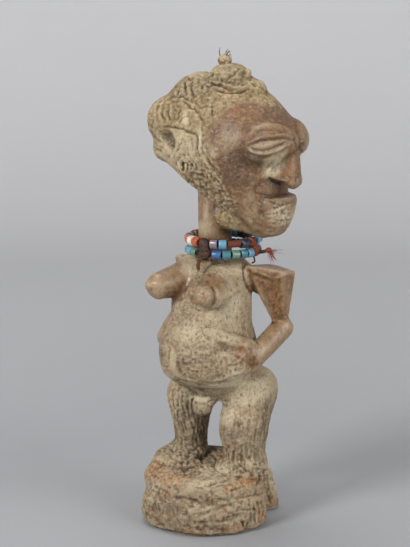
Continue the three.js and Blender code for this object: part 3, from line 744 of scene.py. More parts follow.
FACE_MARKS = [
    (0.6, 0.7, [(245, 142), (248.6, 134), (258.6, 127), (271, 124.5), (283, 127), (290, 132.5), (294, 139)]),
    (-0.6, 1.3, [(251, 138), (258, 132), (266, 129.5), (276, 130), (285, 134)]),
    (0.9, 0.9, [(249, 142.5), (257, 139), (266, 136.5), (276, 135.5), (285, 134.5), (292, 137)]),
    (-1.5, 0.65, [(248, 146), (256, 142), (265, 139.8), (274, 139), (284, 138.3), (293.5, 140)]),
    (1.1, 1.4, [(253, 147), (262, 146), (271, 143.5), (281, 141)]),
    (-0.35, 0.4, [(256, 145.6), (265, 144.8), (277, 142)]),
    (-1.2, 0.6, [(248.6, 147), (258, 150.3), (268, 149.8), (279, 145.5), (287, 141.3)]),
    (1.1, 0.9, [(246, 145), (251.4, 151), (262, 153.6), (273, 152), (285, 146.3), (293, 141.3)]),
    (-0.9, 1.2, [(245, 149), (251, 155), (262, 158), (274, 156), (284, 151)]),
    (-0.9, 0.7, [(294.5, 136), (296, 144), (298.5, 155)]),
    (0.5, 1.0, [(291, 144), (285, 153), (277, 162), (270, 170), (267.5, 175)]),
    (-0.6, 1.2, [(287, 146), (279, 155), (271, 163), (265, 171)]),
    (-1.3, 0.9, [(267.5, 177), (273, 180.5), (281, 184), (289, 187.5)]),
    (-0.9, 0.7, [(287, 175), (290, 179.5), (287, 184)]),
    (-0.6, 0.7, [(297, 176), (295.5, 182)]),
    (-0.7, 0.8, [(259, 193.5), (266, 195.5), (273, 198.5)]),
    (-1.3, 0.7, [(268.5, 200), (273, 203.5), (279, 205.5), (286, 205), (292, 202)]),
    (-0.8, 1.8, [(249, 219), (256, 225), (264, 228), (273, 229), (281, 226)]),
    (0.4, 1.0, [(268, 225), (277, 227.5), (287, 223)]),
    (-0.7, 1.2, [(256, 231), (264, 233), (273, 232)]),
    (-0.9, 2.4, [(262, 199), (260, 208), (262, 217)]),
    (-0.2, 0.9, [(236, 166), (247, 169), (257, 175)]),
]

# The end of the far eye, which only just shows beyond the bridge of the nose
FAR_EYE_MARKS = [
    (0.4, 0.6, [(304.5, 140), (301.5, 141), (300.3, 144), (301.5, 147.5), (304, 148.3)]),
    (-1.0, 0.8, [(303, 143.4), (303.6, 144.8)]),
    (-0.4, 0.7, [(299.5, 150), (302.5, 151.5)]),
]

BODY_MARKS = [
    # Breasts and chest
    (-0.7, 0.9, [(186, 287), (185.5, 297), (191, 306), (203, 310.5), (215, 308), (223, 301)]),
    (-0.5, 0.8, [(191, 287), (189.5, 295), (193, 303), (202, 305)]),
    (0.5, 1.5, [(194, 291), (196, 295)]),
    (0.5, 1.5, [(209, 293), (211, 295)]),
    (-0.8, 0.9, [(177, 302), (187, 296), (190, 288)]),
    (0.4, 1.6, [(221, 299), (231, 294), (239, 288.5)]),
    (-0.5, 1.6, [(222, 303), (232, 297), (241, 290)]),
    (0.5, 1.2, [(241, 288), (243.5, 300), (246, 318), (247, 334)]),
    (-1.8, 1.0, [(242.5, 262), (244, 272), (246, 283), (250, 292)]),
    (-0.5, 1.0, [(207, 270), (210, 276)]),
    # Shoulder, arm and elbow
    (0.6, 0.9, [(245, 264), (253, 270), (264, 274.5), (277, 277), (291, 273)]),
    (-0.5, 0.8, [(250, 272), (262, 278), (274, 281)]),
    (-0.4, 0.8, [(247, 268), (252, 281), (258, 292), (268, 309)]),
    (0.5, 0.8, [(271, 320), (280, 321), (290, 325)]),
    (0.4, 0.8, [(290, 278), (289, 300), (288, 322)]),
    (-0.4, 0.9, [(266, 330), (257, 339), (249, 344)]),
    # Hands: thumb, fingers and the lower edge of the near hand
    (0.6, 1.2, [(248, 346), (236, 345), (225, 341), (214, 335)]),
    (-0.9, 1.2, [(214, 339), (222, 347), (232, 353), (243, 360)]),
    (-0.35, 1.2, [(177.5, 352), (177, 361), (178, 369), (183, 374)]),
    (-0.5, 1.0, [(211, 285), (215.5, 292), (215, 301), (211, 307)]),
    (-0.35, 0.8, [(182, 361), (196, 363), (212, 361), (228, 360)]),
    (-0.3, 0.8, [(180, 368), (196, 371), (212, 370), (232, 366), (246, 363)]),
    (-0.35, 0.8, [(184, 373), (198, 376.5), (214, 376), (232, 371), (250, 369)]),
    (-0.6, 1.1, [(183, 375), (198, 380.5), (214, 383.5), (224, 382), (236, 377), (250, 373.5), (260, 370)]),
    (0.5, 1.0, [(200, 378), (216, 380.5), (232, 375), (248, 371)]),
    (-0.7, 0.8, [(229, 366), (240, 364), (246, 359)]),
    (-0.7, 0.8, [(168, 341), (169, 352), (168, 364), (166, 371)]),
    (-0.5, 0.8, [(162, 350), (162, 362), (166, 369)]),
    (0.6, 1.2, [(163, 368), (170, 369)]),
    (-0.7, 1.0, [(168, 334), (162, 338), (160, 345)]),
    (-0.4, 1.0, [(172, 339), (177, 343), (174, 349)]),
    (-0.5, 1.0, [(172, 329), (174, 322), (171, 316)]),
    # Flutes under the belly
    (-0.6, 0.8, [(172, 377), (185, 381), (200, 385), (214, 388)]),
    (-0.6, 0.8, [(178, 381), (190, 386), (203, 390)]),
    (-1.4, 1.0, [(178, 383), (189, 390.5), (199, 395.5), (210, 396)]),
    (-0.5, 0.8, [(186, 377), (203, 383), (220, 386)]),
    # Groin and thighs
    (-1.2, 0.9, [(190, 398), (196, 402), (206, 402.5), (213, 400)]),
    (-0.6, 0.8, [(198, 409), (203, 413)]),
    (-0.7, 1.0, [(183, 394), (182, 404), (185, 414), (189, 424)]),
    (-1.0, 0.8, [(188, 396), (188, 408), (191, 420), (196, 436), (198, 446)]),
    (-1.0, 0.8, [(192, 400), (194, 412), (198, 428), (202, 444)]),
    (-1.2, 0.9, [(197, 412), (200, 426), (204, 442)]),
    (-1.0, 0.8, [(202, 414), (204, 430), (206, 442)]),
    (-0.7, 0.8, [(170, 388), (168, 397), (171, 408), (176, 420), (181, 434)]),
    (-0.8, 0.8, [(176, 385), (172, 394), (174, 405), (179, 418), (184, 432), (187, 444)]),
    (-0.8, 0.8, [(181, 386), (177, 395), (179, 408), (184, 422), (188, 438)]),
    (0.6, 0.9, [(173, 391), (170, 399), (173, 408)]),
    (0.6, 0.9, [(179, 391), (175, 400), (177, 411)]),
    (-0.35, 1.5, [(259, 408), (258, 422), (254, 440), (252, 456)]),
    (-0.35, 1.5, [(268, 398), (265, 416), (262, 436)]),
    (-0.35, 1.5, [(250, 424), (247, 440), (246, 456)]),
    (0.5, 1.6, [(222, 424), (232, 428), (244, 428)]),
    (-0.4, 2.0, [(222, 434), (234, 438), (246, 436)]),
    # Feet
    (-1.6, 0.9, [(234, 449), (233, 456), (231, 463)]),
    (-1.0, 0.8, [(229, 445), (226, 452)]),
    (-0.9, 0.8, [(241, 450), (241, 460), (243, 467)]),
    (-1.5, 0.8, [(250, 456), (250.5, 462)]),
    (-1.0, 0.9, [(208, 449), (213, 456), (218, 463)]),
    (-0.7, 0.9, [(210, 446), (218, 452), (224, 460)]),
    (-2.0, 1.0, [(176, 461), (182, 464), (184, 471)]),
    (-1.2, 0.9, [(189, 452), (188, 461), (192, 469)]),
    (-1.2, 0.9, [(198, 450), (199, 460), (203, 468)]),
    (-1.0, 0.9, [(170, 455), (174, 463), (172, 470)]),
    (-1.0, 0.9, [(183, 448), (180, 456)]),
    # Base: ledges, grooves and slots
    (-1.2, 1.0, [(196, 488), (206, 486), (218, 482), (229, 480.5)]),
    (0.8, 1.3, [(199, 483), (210, 482), (222, 478)]),
    (-0.9, 1.0, [(223, 485), (229, 490), (236, 489), (247, 484)]),
    (-1.1, 1.2, [(166, 499), (180, 497), (194, 500), (204, 506)]),
    (-1.0, 1.2, [(190, 516), (206, 513), (220, 507), (236, 503), (250, 501)]),
    (0.8, 1.5, [(192, 512), (207, 509), (222, 503), (240, 499)]),
    (-1.0, 1.3, [(150, 484), (162, 490), (170, 492)]),
    (-0.9, 1.3, [(193, 524), (212, 521), (230, 517), (246, 515)]),
    (0.9, 1.6, [(160, 477), (172, 482), (186, 476), (194, 471)]),
    (-0.9, 0.8, [(250, 502), (251, 512), (252, 524)]),
    (-0.9, 0.8, [(254, 501), (255.5, 512), (256, 524)]),
    (-0.9, 0.8, [(258, 500), (260, 511), (260, 522)]),
    (-0.8, 0.8, [(262, 499), (264, 509), (264, 518)]),
    (-2.6, 0.8, [(260.5, 475), (259.5, 480), (258, 484)]),
    (-3.0, 0.9, [(243, 521), (243.5, 527)]),
    (-1.5, 0.9, [(263, 468), (264, 482), (266, 497)]),
    (-0.9, 1.0, [(272, 474), (274, 487), (277, 499)]),
    (-0.8, 1.0, [(268, 478), (270, 492), (270, 504)]),
]

HAIRLINE = [
    (219, 172), (212, 160), (208, 150), (207, 138), (210, 128), (216, 119), (224, 110), (233, 104),
    (243, 101), (255, 101), (268, 106),
]


def smooth_path(points, steps=10):
    """A smooth path through points of the drawing or in space."""
    p = np.array(points, float)
    p = np.vstack([2 * p[0] - p[1], p, 2 * p[-1] - p[-2]])
    path = []
    for i in range(1, len(p) - 2):
        for t in np.arange(steps) / steps:
            path.append(0.5 * (2 * p[i] + (p[i + 1] - p[i - 1]) * t
                               + (2 * p[i - 1] - 5 * p[i] + 4 * p[i + 1] - p[i + 2]) * t ** 2
                               + (3 * p[i] - p[i - 1] - 3 * p[i + 1] + p[i + 2]) * t ** 3))
    path.append(p[-2])
    return np.array(path)


class Noise:
    """Smooth random values from -1 to 1 over space."""

    SIZE = 64

    def __init__(self, seed):
        self.table = np.random.default_rng(seed).uniform(-1, 1, (self.SIZE,) * 3).astype(np.float32)

    def at(self, places, scale, shift=0):
        p = places / np.array(scale) + shift
        base = np.floor(p).astype(np.int64)
        t = p - base
        t = t * t * (3 - 2 * t)
        total = 0
        for i in (0, 1):
            for j in (0, 1):
                for k in (0, 1):
                    corner = (base + (i, j, k)) % self.SIZE
                    share = np.abs(1 - i - t[:, 0]) * np.abs(1 - j - t[:, 1]) * np.abs(1 - k - t[:, 2])
                    total = total + share * self.table[corner[:, 0], corner[:, 1], corner[:, 2]]
        return total


class Sheet:
    """Where points of the carving lie on the drawing. The head's far side is drawn like its near side."""

    def __init__(self, places, normals, mirrored=True):
        places = places.copy()
        normals = normals.copy()
        turn = math.radians(HEAD_TURN)
        left = np.array([-math.sin(turn), math.cos(turn), 0])
        self.left = places @ left
        neck = np.hypot(places[:, 0] - 1, places[:, 1] - 1) < NECK_RADIUS + 1.3
        neck &= places[:, 2] < HEAD_HEIGHT - 24
        self.head = (places[:, 2] > HEAD_HEIGHT - 63) & ~neck
        self.neck = neck & (places[:, 2] > SHOULDER_HEIGHT + 6)
        self.far = self.head & (self.left > 0)
        ahead = self.facing(places, normals)
        far = self.far & mirrored
        places[far] -= 2 * np.outer(places[far] @ left, left)
        normals[far] -= 2 * np.outer(normals[far] @ left, left)
        ray = places - EYE
        depth = -ray @ TO_EYE
        focus = EYE_DISTANCE / DRAWING_UNIT / depth
        self.x = DRAWING_SIZE[0] / 2 + ray @ DRAWING_ACROSS * focus
        self.y = DRAWING_SIZE[1] / 2 - ray @ DRAWING_UP * focus
        self.seen = smoothstep(0.0, 0.25, self.facing(places, normals))
        self.seen *= np.where(far, smoothstep(0.0, -0.35, ahead), 1)

    @staticmethod
    def facing(places, normals):
        """How much each point turns to the eye: 1 straight to it, below 0 away from it."""
        ray = EYE - places
        return np.einsum("ij,ij->i", normals, ray) / np.linalg.norm(ray, axis=1)

    def line(self, points, width):
        """How near each point is to a path: 1 on it, less at its ends, 0 away from it; width in millimetres."""
        path = smooth_path(points, 4)
        reach = 3 * width / DRAWING_UNIT
        near = np.flatnonzero(
            (self.x > path[:, 0].min() - reach) & (self.x < path[:, 0].max() + reach)
            & (self.y > path[:, 1].min() - reach) & (self.y < path[:, 1].max() + reach))
        x, y = self.x[near], self.y[near]
        best = np.full(len(near), FAR)
        along = np.zeros(len(near))
        for i, ((ax, ay), (bx, by)) in enumerate(zip(path, path[1:])):
            ux, uy = bx - ax, by - ay
            t = np.clip(((x - ax) * ux + (y - ay) * uy) / (ux * ux + uy * uy), 0, 1)
            away = (x - ax - ux * t) ** 2 + (y - ay - uy * t) ** 2
            along = np.where(away < best, (i + t) / (len(path) - 1), along)
            best = np.minimum(best, away)
        share = np.zeros(len(self.x))
        ends = 0.3 + 0.7 * smoothstep(0, 0.2, np.minimum(along, 1 - along))
        share[near] = ends * np.exp(-best * (DRAWING_UNIT / width) ** 2)
        return share * self.seen

    def patch(self, centre, radii, turn=0, soft=0.5):
        """1 inside an oval, 0 outside, with a soft border."""
        c, s = math.cos(math.radians(turn)), math.sin(math.radians(turn))
        dx, dy = self.x - centre[0], self.y - centre[1]
        away = np.hypot((dx * c + dy * s) / radii[0], (dy * c - dx * s) / radii[1])
        return smoothstep(1 + soft, 1 - soft, away)

    def within(self, corners, soft=2):
        """1 inside a polygon, 0 outside; soft is the border in units of the drawing."""
        inside = np.zeros(len(self.x), bool)
        away = np.full(len(self.x), FAR)
        for (ax, ay), (bx, by) in zip(corners, corners[1:] + corners[:1]):
            ux, uy = bx - ax, by - ay
            t = np.clip(((self.x - ax) * ux + (self.y - ay) * uy) / (ux * ux + uy * uy), 0, 1)
            away = np.minimum(away, np.hypot(self.x - ax - ux * t, self.y - ay - uy * t))
            if ay != by:
                crosses = ((ay > self.y) != (by > self.y)) & (self.x < (self.y - ay) / (by - ay) * ux + ax)
                inside ^= crosses
        return smoothstep(-soft, soft, np.where(inside, away, -away))


FOOT_CRUST = [
    (166, 448), (180, 443), (205, 447), (207, 462), (200, 474), (186, 476), (172, 468),
]
NEAR_HAND = [
    (178, 348), (212, 333), (240, 346), (258, 350), (262, 366), (222, 383), (180, 374),
]
FACE_EDGE = HAIRLINE + [(280, 110), (330, 130), (330, 250), (262, 240), (240, 225), (233, 205), (225, 188)]
BEARD_EDGE = [
    (188, 160), (203, 157), (212, 168), (226, 188), (234, 206), (240, 224), (222, 212), (190, 186),
    (176, 172),
]


def tool_marks(sheet, straight, places, noise):
    """The height of the tool marks over the smooth form, in millimetres."""
    head = sheet.head
    height = np.zeros(len(places))
    uneven = 1 + 0.7 * noise.at(places, 4, 53)
    steady = (sheet.x.copy(), sheet.y.copy())
    for marks, part, depth, wander in ((HAIR_MARKS, head, 0.95 * uneven, 0.9), (FACE_MARKS, head, 0.85, 0.15),
                                       (BODY_MARKS, ~head, 0.7 * uneven, 0.8)):
        sheet.x = steady[0] + wander * noise.at(places, 2.4, 57)
        sheet.y = steady[1] + wander * noise.at(places, 2.4, 61)
        for rise, width, points in marks:
            height += depth * rise * sheet.line(points, width) * part
    sheet.x, sheet.y = steady
    for rise, width, points in FAR_EYE_MARKS:
        height += rise * straight.line(points, width) * straight.far
    return height


def relief_of(sheet, straight, places, noise):
    """The height of the tool marks and of the weathered grain over the smooth form, in millimetres."""
    height = tool_marks(sheet, straight, places, noise)
    head = sheet.head
    face = sheet.within(FACE_EDGE, 1.5) * head
    beard = sheet.within(BEARD_EDGE, 2) * head
    hair = np.clip(head - face, 0, 1)
    fine = noise.at(places, 1.6)
    coarse = noise.at(places, 4, 7)
    broad = noise.at(places, 11, 13)
    grain = noise.at(places, (1.3, 1.3, 12), 21)
    height += 0.5 * face * sheet.line(HAIRLINE, 2.5)
    locks = noise.at(places, (6, 6, 9), 43)
    height += hair * (0.3 * coarse + 0.3 * fine + 0.6 * np.minimum(np.abs(locks), 0.35) - 0.12)
    height += beard * (0.45 * fine + 0.35 * np.abs(coarse))
    height += face * (0.15 * fine + 0.1 * coarse + 0.15 * broad)
    chip = sheet.patch((280, 214), (13, 11.5), 0, 0.2) * head * sheet.seen
    rough = noise.at(places, 2.2, 17)
    height += chip * (-0.9 + 1.3 * np.abs(rough) + 0.6 * coarse + 0.4 * fine)
    height -= 1.5 * sheet.patch((283, 213), (3, 4)) * head + 1.2 * sheet.patch((276, 208.5), (3.5, 2.5)) * head
    body = 1.0 - head
    height += body * (0.3 * broad + 0.1 * grain + 0.12 * fine)
    low = smoothstep(BASE_HEIGHT + 10, BASE_HEIGHT - 2, places[:, 2])
    layers = noise.at(places, (9, 9, 4.5), 47)
    height += low * (0.8 * broad + 0.35 * coarse + 0.2 * fine + 1.6 * np.minimum(np.abs(layers), 0.35) - 0.3)
    legs = smoothstep(HIP_HEIGHT + 4, HIP_HEIGHT - 8, places[:, 2]) * (1 - low)
    height += legs * (0.25 * coarse + 0.3 * grain + 0.12 * fine)
    crust = sheet.within(FOOT_CRUST, 4) * body
    height += crust * (1.3 * np.abs(coarse) + 0.6 * fine - 0.4)
    nub = sheet.patch((200, 297), (12, 13), 0, 0.3) * body
    height += nub * (0.3 + 0.5 * coarse + 0.6 * np.abs(rough) + 0.2 * fine)
    mottled = sheet.within(NEAR_HAND, 5) * body
    height += mottled * (0.35 * coarse + 0.3 * fine)
    foot = sheet.patch((241, 468), (28, 10), 0, 0.4) * body
    height += foot * (0.6 * coarse + 0.4 * fine + 0.4 * np.abs(grain))
    return height


def around(sides):
    return np.arange(sides) * 2 * math.pi / sides


def grid_quads(rows, sides, joined=False, turned=False):
    """Quads between rings of vertices; joined ties the last ring to the first, turned flips their fronts."""
    i = np.arange(rows if joined else rows - 1)[:, None]
    here, following = i * sides, (i + 1) % rows * sides
    j = np.arange(sides)[None]
    k = (j + 1) % sides
    if turned:
        corners = [here + j, following + j, following + k, here + k]
    else:
        corners = [here + j, here + k, following + k, following + j]
    return np.stack(corners, 2).reshape(-1, 4)


def revolved(profile, angles, worn=1):
    """A profile of (radius, height) turned round Z; worn gives the share of the radius at each angle."""
    return np.stack([profile[:, :1] * (np.cos(angles) * worn), profile[:, :1] * (np.sin(angles) * worn),
                     np.repeat(profile[:, 1:], len(angles), 1)], 2).reshape(-1, 3)


def mesh_object(name, vertices, faces):
    mesh = bpy.data.meshes.new(name)
    vertices = np.asarray(vertices, np.float32) * MM
    faces = np.asarray(faces, np.int32)
    sides = faces.shape[1]
    mesh.vertices.add(len(vertices))
    mesh.vertices.foreach_set("co", vertices.ravel())
    mesh.loops.add(faces.size)
    mesh.loops.foreach_set("vertex_index", faces.ravel())
    mesh.polygons.add(len(faces))
    mesh.polygons.foreach_set("loop_start", np.arange(0, faces.size, sides, dtype=np.int32))
    mesh.update(calc_edges=True)
    mesh.shade_smooth()
    made = bpy.data.objects.new(name, mesh)
    bpy.context.scene.collection.objects.link(made)
    return made


# Colour patches on the drawing: (strength, centre, radii, turn in degrees). Most are the wood's own tones; the
# pale and dark patches noted below are painted light and painted shade.

BODY_TINTS = {
    "ochre": [
        (0.85, (157, 471), (9, 10), 0), (0.7, (174, 479), (14, 4), -8), (0.75, (246, 482), (15, 6), -12),
        (0.7, (229, 490), (8, 4), 0), (1.0, (236, 530), (15, 5), -5), (0.7, (262, 517), (5, 6), 0),
        (0.8, (273, 502), (6, 6), 0), (0.5, (220, 454), (6, 6), 0), (0.4, (205, 503), (9, 4), 0),
        (0.3, (237, 361), (7, 6), 30), (0.25, (236, 350), (20, 5), 38), (0.6, (199, 298), (9, 10), 0),
    ],
    "pale": [
        (0.9, (214, 473), (17, 8), -8), (0.6, (249, 464), (4, 5), 0), (0.9, (200, 399), (12, 4), 5),
        # Painted highlight: (229, 414) on the near thigh.
        (0.5, (237, 385), (14, 16), 0), (0.7, (229, 414), (8, 12), 20), (0.5, (213, 333), (2, 2), 0),
        # Painted light: (205, 228) lights the neck below the jaw.
        (0.35, (205, 328), (34, 24), 0), (0.5, (172, 362), (4, 10), 0), (0.5, (205, 228), (14, 8), 0),
        # Painted light: (231, 306) brightens the flank where the arm's shadow falls, and (188, 266) the chest
        # where the knot's shadow falls.
        (0.9, (231, 306), (10, 18), 10), (0.8, (224, 385), (18, 8), -10), (0.6, (188, 266), (8, 14), 0),
        # Painted light: (217, 313) brightens the shadow beside the breast's nub.
        (0.5, (228, 258), (16, 6), 0), (0.6, (217, 313), (9, 8), 0), (0.4, (259, 370), (7, 6), 0),
        (0.6, (206, 482), (14, 6), 0), (0.4, (202, 510), (14, 8), 0), (0.35, (246, 502), (16, 5), -12),
        # Painted light: (248, 393) lights the hip under the belly.
        (0.4, (212, 388), (10, 5), 0), (0.3, (236, 315), (8, 22), 0), (1.0, (248, 393), (22, 12), -20),
        (0.4, (258, 348), (8, 8), 0), (0.5, (232, 268), (10, 7), 0), (0.4, (229, 405), (10, 8), 0),
        # Painted highlight: (206, 216) is a strip of light down the neck.
        (0.45, (206, 216), (3, 22), 0), (0.5, (274, 482), (6, 10), 0),
    ],
    "dark": [
        (0.7, (233, 432), (14, 9), 0), (0.8, (181, 362), (5, 10), 0), (0.45, (201, 353), (22, 12), 0),
        (0.3, (255, 358), (10, 9), 30), (0.9, (180, 534), (34, 5), 8), (0.5, (222, 529), (26, 6), -5),
        # Painted shade: (203, 425) on the inner side of the far leg, between the legs.
        (0.35, (172, 507), (18, 13), 0), (0.7, (203, 425), (7, 22), 0), (0.5, (216, 446), (10, 6), 0),
        # Painted shade: (269, 415) down the right side of the near leg.
        (0.6, (269, 415), (8, 32), 10), (0.5, (188, 462), (14, 12), 0), (0.7, (159, 350), (6, 15), 0),
        (0.6, (160, 326), (6, 8), 0), (0.4, (231, 358), (8, 10), 0), (0.6, (188, 413), (14, 7), 0),
        (0.5, (230, 436), (8, 14), 0), (0.5, (166, 453), (14, 6), 0), (0.6, (195, 525), (40, 6), 5),
        (0.3, (236, 296), (10, 8), 0), (0.5, (200, 298), (13, 13), 0), (0.4, (242, 468), (26, 7), 0),
        # Painted shadow: (236, 220) and (219, 213) are the jaw's shadow on the neck.
        (0.35, (240, 446), (20, 14), 0), (0.85, (236, 220), (10, 24), 0), (0.8, (219, 213), (8, 9), 0),
        (0.6, (190, 503), (36, 13), -4), (0.35, (157, 471), (10, 10), 0), (0.65, (190, 422), (20, 30), 12),
    ],
}

HEAD_TINTS = {
    "ochre": [
        (0.5, (291, 166), (5, 14), 5), (0.3, (287, 183), (9, 4), 0), (0.3, (236, 110), (12, 4), -25),
        (0.6, (222, 94), (7, 4), 0), (0.2, (265, 227), (16, 5), 15), (0.5, (170, 165), (7, 4), 20),
        (0.5, (186, 121), (4, 6), 0), (0.15, (260, 146), (12, 4), -10),
    ],
    "pale": [
        # Painted sheen: (228, 141). Painted light: (273, 166) and (280, 156) light the near side of the nose.
        (0.3, (228, 141), (14, 11), -20), (0.85, (273, 166), (9, 13), 35), (0.6, (280, 156), (6, 10), 20),
        (0.9, (200, 141), (2, 14), 0), (0.9, (185, 119), (3, 8), 0), (0.65, (281, 215), (13, 11), 0),
        (0.5, (214, 152), (5, 7), 0), (0.5, (180, 150), (28, 22), 0), (0.4, (200, 75), (12, 4), 0),
        (0.3, (196, 145), (8, 10), 0), (0.3, (263, 126), (14, 3), -8), (0.3, (249, 207), (9, 16), 0),
        (0.35, (268, 148), (22, 8), -12), (0.3, (272, 232), (18, 5), -15),
    ],
    "dark": [
        (0.9, (243, 159), (20, 9), 5), (0.6, (236, 176), (19, 12), 20), (0.6, (276, 114), (18, 9), 12),
        # Painted shadow: (270, 183) under the nose.
        (0.7, (301, 126), (7, 13), -30), (0.3, (270, 183), (12, 5), 20), (0.5, (263, 209), (6, 14), 0),
        (0.4, (170, 139), (7, 5), -35), (0.5, (230, 131), (7, 7), 0), (0.5, (259, 134), (7, 8), 0),
        # Painted shadow: (282, 200) under the upper lip and (276, 182) under the nose.
        (0.5, (228, 66), (13, 5), 0), (0.6, (282, 200), (13, 4), 0), (0.4, (276, 182), (10, 4), 20),
        (0.5, (194, 88), (36, 13), 5), (0.5, (234, 78), (20, 12), 0), (0.5, (205, 186), (28, 9), 42),
        (0.7, (283, 211), (3, 3), 0), (0.6, (272, 208), (2, 3), 0), (0.5, (228, 205), (10, 8), 30),
    ],
}

NEAR_ARM = [
    (245, 262), (262, 256), (296, 268), (293, 334), (263, 370), (254, 373), (244, 358), (252, 343),
    (270, 320), (247, 290),
]


def vertex_data(mesh, kind="co"):
    values = np.empty(len(mesh.vertices) * 3, np.float32)
    if kind == "co":
        mesh.vertices.foreach_get("co", values)
    else:
        mesh.vertex_normals.foreach_get("vector", values)
    return values.reshape(-1, 3).astype(float)


def add_relief(made, noise, amount):
    mesh = made.data
    places = vertex_data(mesh) / MM
    normals = vertex_data(mesh, "normal")
    sheet = Sheet(places, normals)
    height = relief_of(sheet, Sheet(places, normals, False), places, noise)
    height *= amount * smoothstep(0.2, 1.5, places[:, 2])
    places += normals * height[:, None]
    mesh.vertices.foreach_set("co", (places * MM).astype(np.float32).ravel())
    mesh.update()


def thin_out(body, triangles):
    """Keeps about so many triangles of the carving."""
    bpy.context.view_layer.objects.active = body
    body.select_set(True)
    thin = body.modifiers.new("thin", "DECIMATE")
    thin.ratio = min(1, triangles / (2 * len(body.data.polygons)))
    bpy.ops.object.modifier_apply(modifier="thin")
    body.select_set(False)


def keep_inside(mesh, low, high):
    """Moves every corner that lies outside the solid's box back to it, in millimetres."""
    places = np.clip(vertex_data(mesh) / MM, low + (CLIP, CLIP, 0), high - CLIP)
    mesh.vertices.foreach_set("co", (places * MM).astype(np.float32).ravel())
    mesh.update()


def hollows(mesh, rounds):
    """How far, in millimetres, each corner lies under its smoothed surroundings; below 0 on edges."""
    places = vertex_data(mesh) / MM
    normals = vertex_data(mesh, "normal")
    ends = np.empty(len(mesh.edges) * 2, np.int32)
    mesh.edges.foreach_get("vertices", ends)
    a, b = ends.reshape(-1, 2).T
    count = np.bincount(np.concatenate([a, b]), minlength=len(places))[:, None]
    smooth = places.copy()
    for _ in range(rounds):
        total = np.zeros_like(smooth)
        for axis in range(3):
            total[:, axis] = (np.bincount(a, smooth[b, axis], len(places))
                              + np.bincount(b, smooth[a, axis], len(places)))
        smooth = total / count
    return np.einsum("ij,ij->i", smooth - places, normals)


def set_value(mesh, name, values):
    layer = mesh.attributes.new(name, "FLOAT", "POINT")
    layer.data.foreach_set("value", np.clip(values, 0, 1).astype(np.float32))


def paint(made, noise):
    """Stores where the wood is polished, stained, ochre, faded or dirty as values on the mesh; some pale
    patches are painted light, some dark patches painted shade, and the hollows are darkened as painted shade as
    well as soiling.
    """
    mesh = made.data
    places = vertex_data(mesh) / MM
    normals = vertex_data(mesh, "normal")
    sheet = Sheet(places, normals)
    head = sheet.head.astype(float)
    body = 1 - head
    face = sheet.within(FACE_EDGE, 5) * head
    beard = sheet.within(BEARD_EDGE, 4) * head
    blotch = noise.at(places, 6, 31)
    streak = noise.at(places, (3, 3, 14), 37)
    x, y, z = places.T

    def near_form(part, reach):
        return smoothstep(reach, 0, part.distance(x, y, z))

    arms = np.maximum(sheet.within(NEAR_ARM, 3) * body * (x > 20), smoothstep(31, 35, np.abs(x)) * smoothstep(
        112, 122, z) * smoothstep(182, 178, z) * body)
    breasts = np.maximum(near_form(limb((-15, -16, CHEST_HEIGHT), (-24, -38, CHEST_HEIGHT - 1), 12, 6), 4),
                         near_form(limb((16, -20, CHEST_HEIGHT - 2), (19.5, -36, CHEST_HEIGHT - 3), 10, 7), 3))
    polish = np.maximum(np.maximum(arms, breasts * 0.9), sheet.neck * 0.95)
    polish = np.maximum(polish, face * 0.55)
    tints = {}
    for name in ("ochre", "pale", "dark"):
        value = np.zeros(len(places))
        for patches, where in ((HEAD_TINTS[name], head), (BODY_TINTS[name], body)):
            for strength, centre, radii, turn in patches:
                value = np.maximum(value, strength * sheet.patch(centre, radii, turn, 0.6) * where)
        tints[name] = value
    rim = smoothstep(12, 3, z + 4 * blotch) * body
    base = smoothstep(BASE_HEIGHT + 6, BASE_HEIGHT - 4, z)
    tints["dark"] = np.maximum(tints["dark"], 0.65 * rim)
    warmed = 0.65 * rim * smoothstep(-0.1, 0.4, streak) + 0.35 * base * smoothstep(-0.2, 0.5, blotch)
    tints["ochre"] = np.maximum(tints["ochre"], warmed)
    # How deep each corner lies in a hollow. The hollows are darkened as soiling and as painted shade; deep sets
    # how strongly, less on the hip, where light falls.
    hollow = hollows(mesh, 12)
    close = hollows(mesh, 3)
    hip = sheet.patch((250, 395), (26, 16), 0, 0.4) * body
    legs = smoothstep(112, 100, z) * body
    deep = 0.8 - 0.2 * body + 0.25 * legs - 0.15 * face - 0.4 * hip
    edges = 1 - 0.6 * face
    set_value(mesh, "polish", polish + 0.2 * blotch * polish)
    lower = sheet.patch((256, 211), (30, 24), 25, 0.6)
    set_value(mesh, "face", face * (1 - 0.55 * lower) + 0.25 * beard * head)
    set_value(mesh, "hair", head * (1 - face))
    for name, value in tints.items():
        set_value(mesh, name, value)
    set_value(mesh, "hollow", deep * np.maximum(hollow / 0.6, close / 0.28))
    set_value(mesh, "worn", edges * np.maximum(-hollow / 0.7, -close / 0.3))


# Materials

def add_node(tree, kind, inputs=None, output=0, **settings):
    """Adds a node and gives one of its outputs; inputs holds values or other nodes' outputs."""
    node = tree.nodes.new(kind)
    for name, value in settings.items():
        setattr(node, name, value)
    for key, value in (inputs or {}).items():
        if isinstance(value, bpy.types.NodeSocket):
            tree.links.new(value, node.inputs[key])
        else:
            node.inputs[key].default_value = value
    return node.outputs[output] if node.outputs else None


def new_material(name):
    material = bpy.data.materials.new(name)
    material.use_nodes = True
    tree = material.node_tree
    tree.nodes.clear()
    return material, tree


def rgba(colour):
    return (*colour, 1)


def layered(tree, base, layers):
    """A base colour under layers, each given as (where it shows, from, to, how much, colour)."""
    shade = rgba(base)
    for source, low, high, strength, colour in layers:
        share = add_node(tree, "ShaderNodeMapRange", {0: source, 1: low, 2: high, 4: strength})
        shade = add_node(tree, "ShaderNodeMix", {0: share, 6: shade, 7: rgba(colour)}, 2, data_type="RGBA")
    return shade


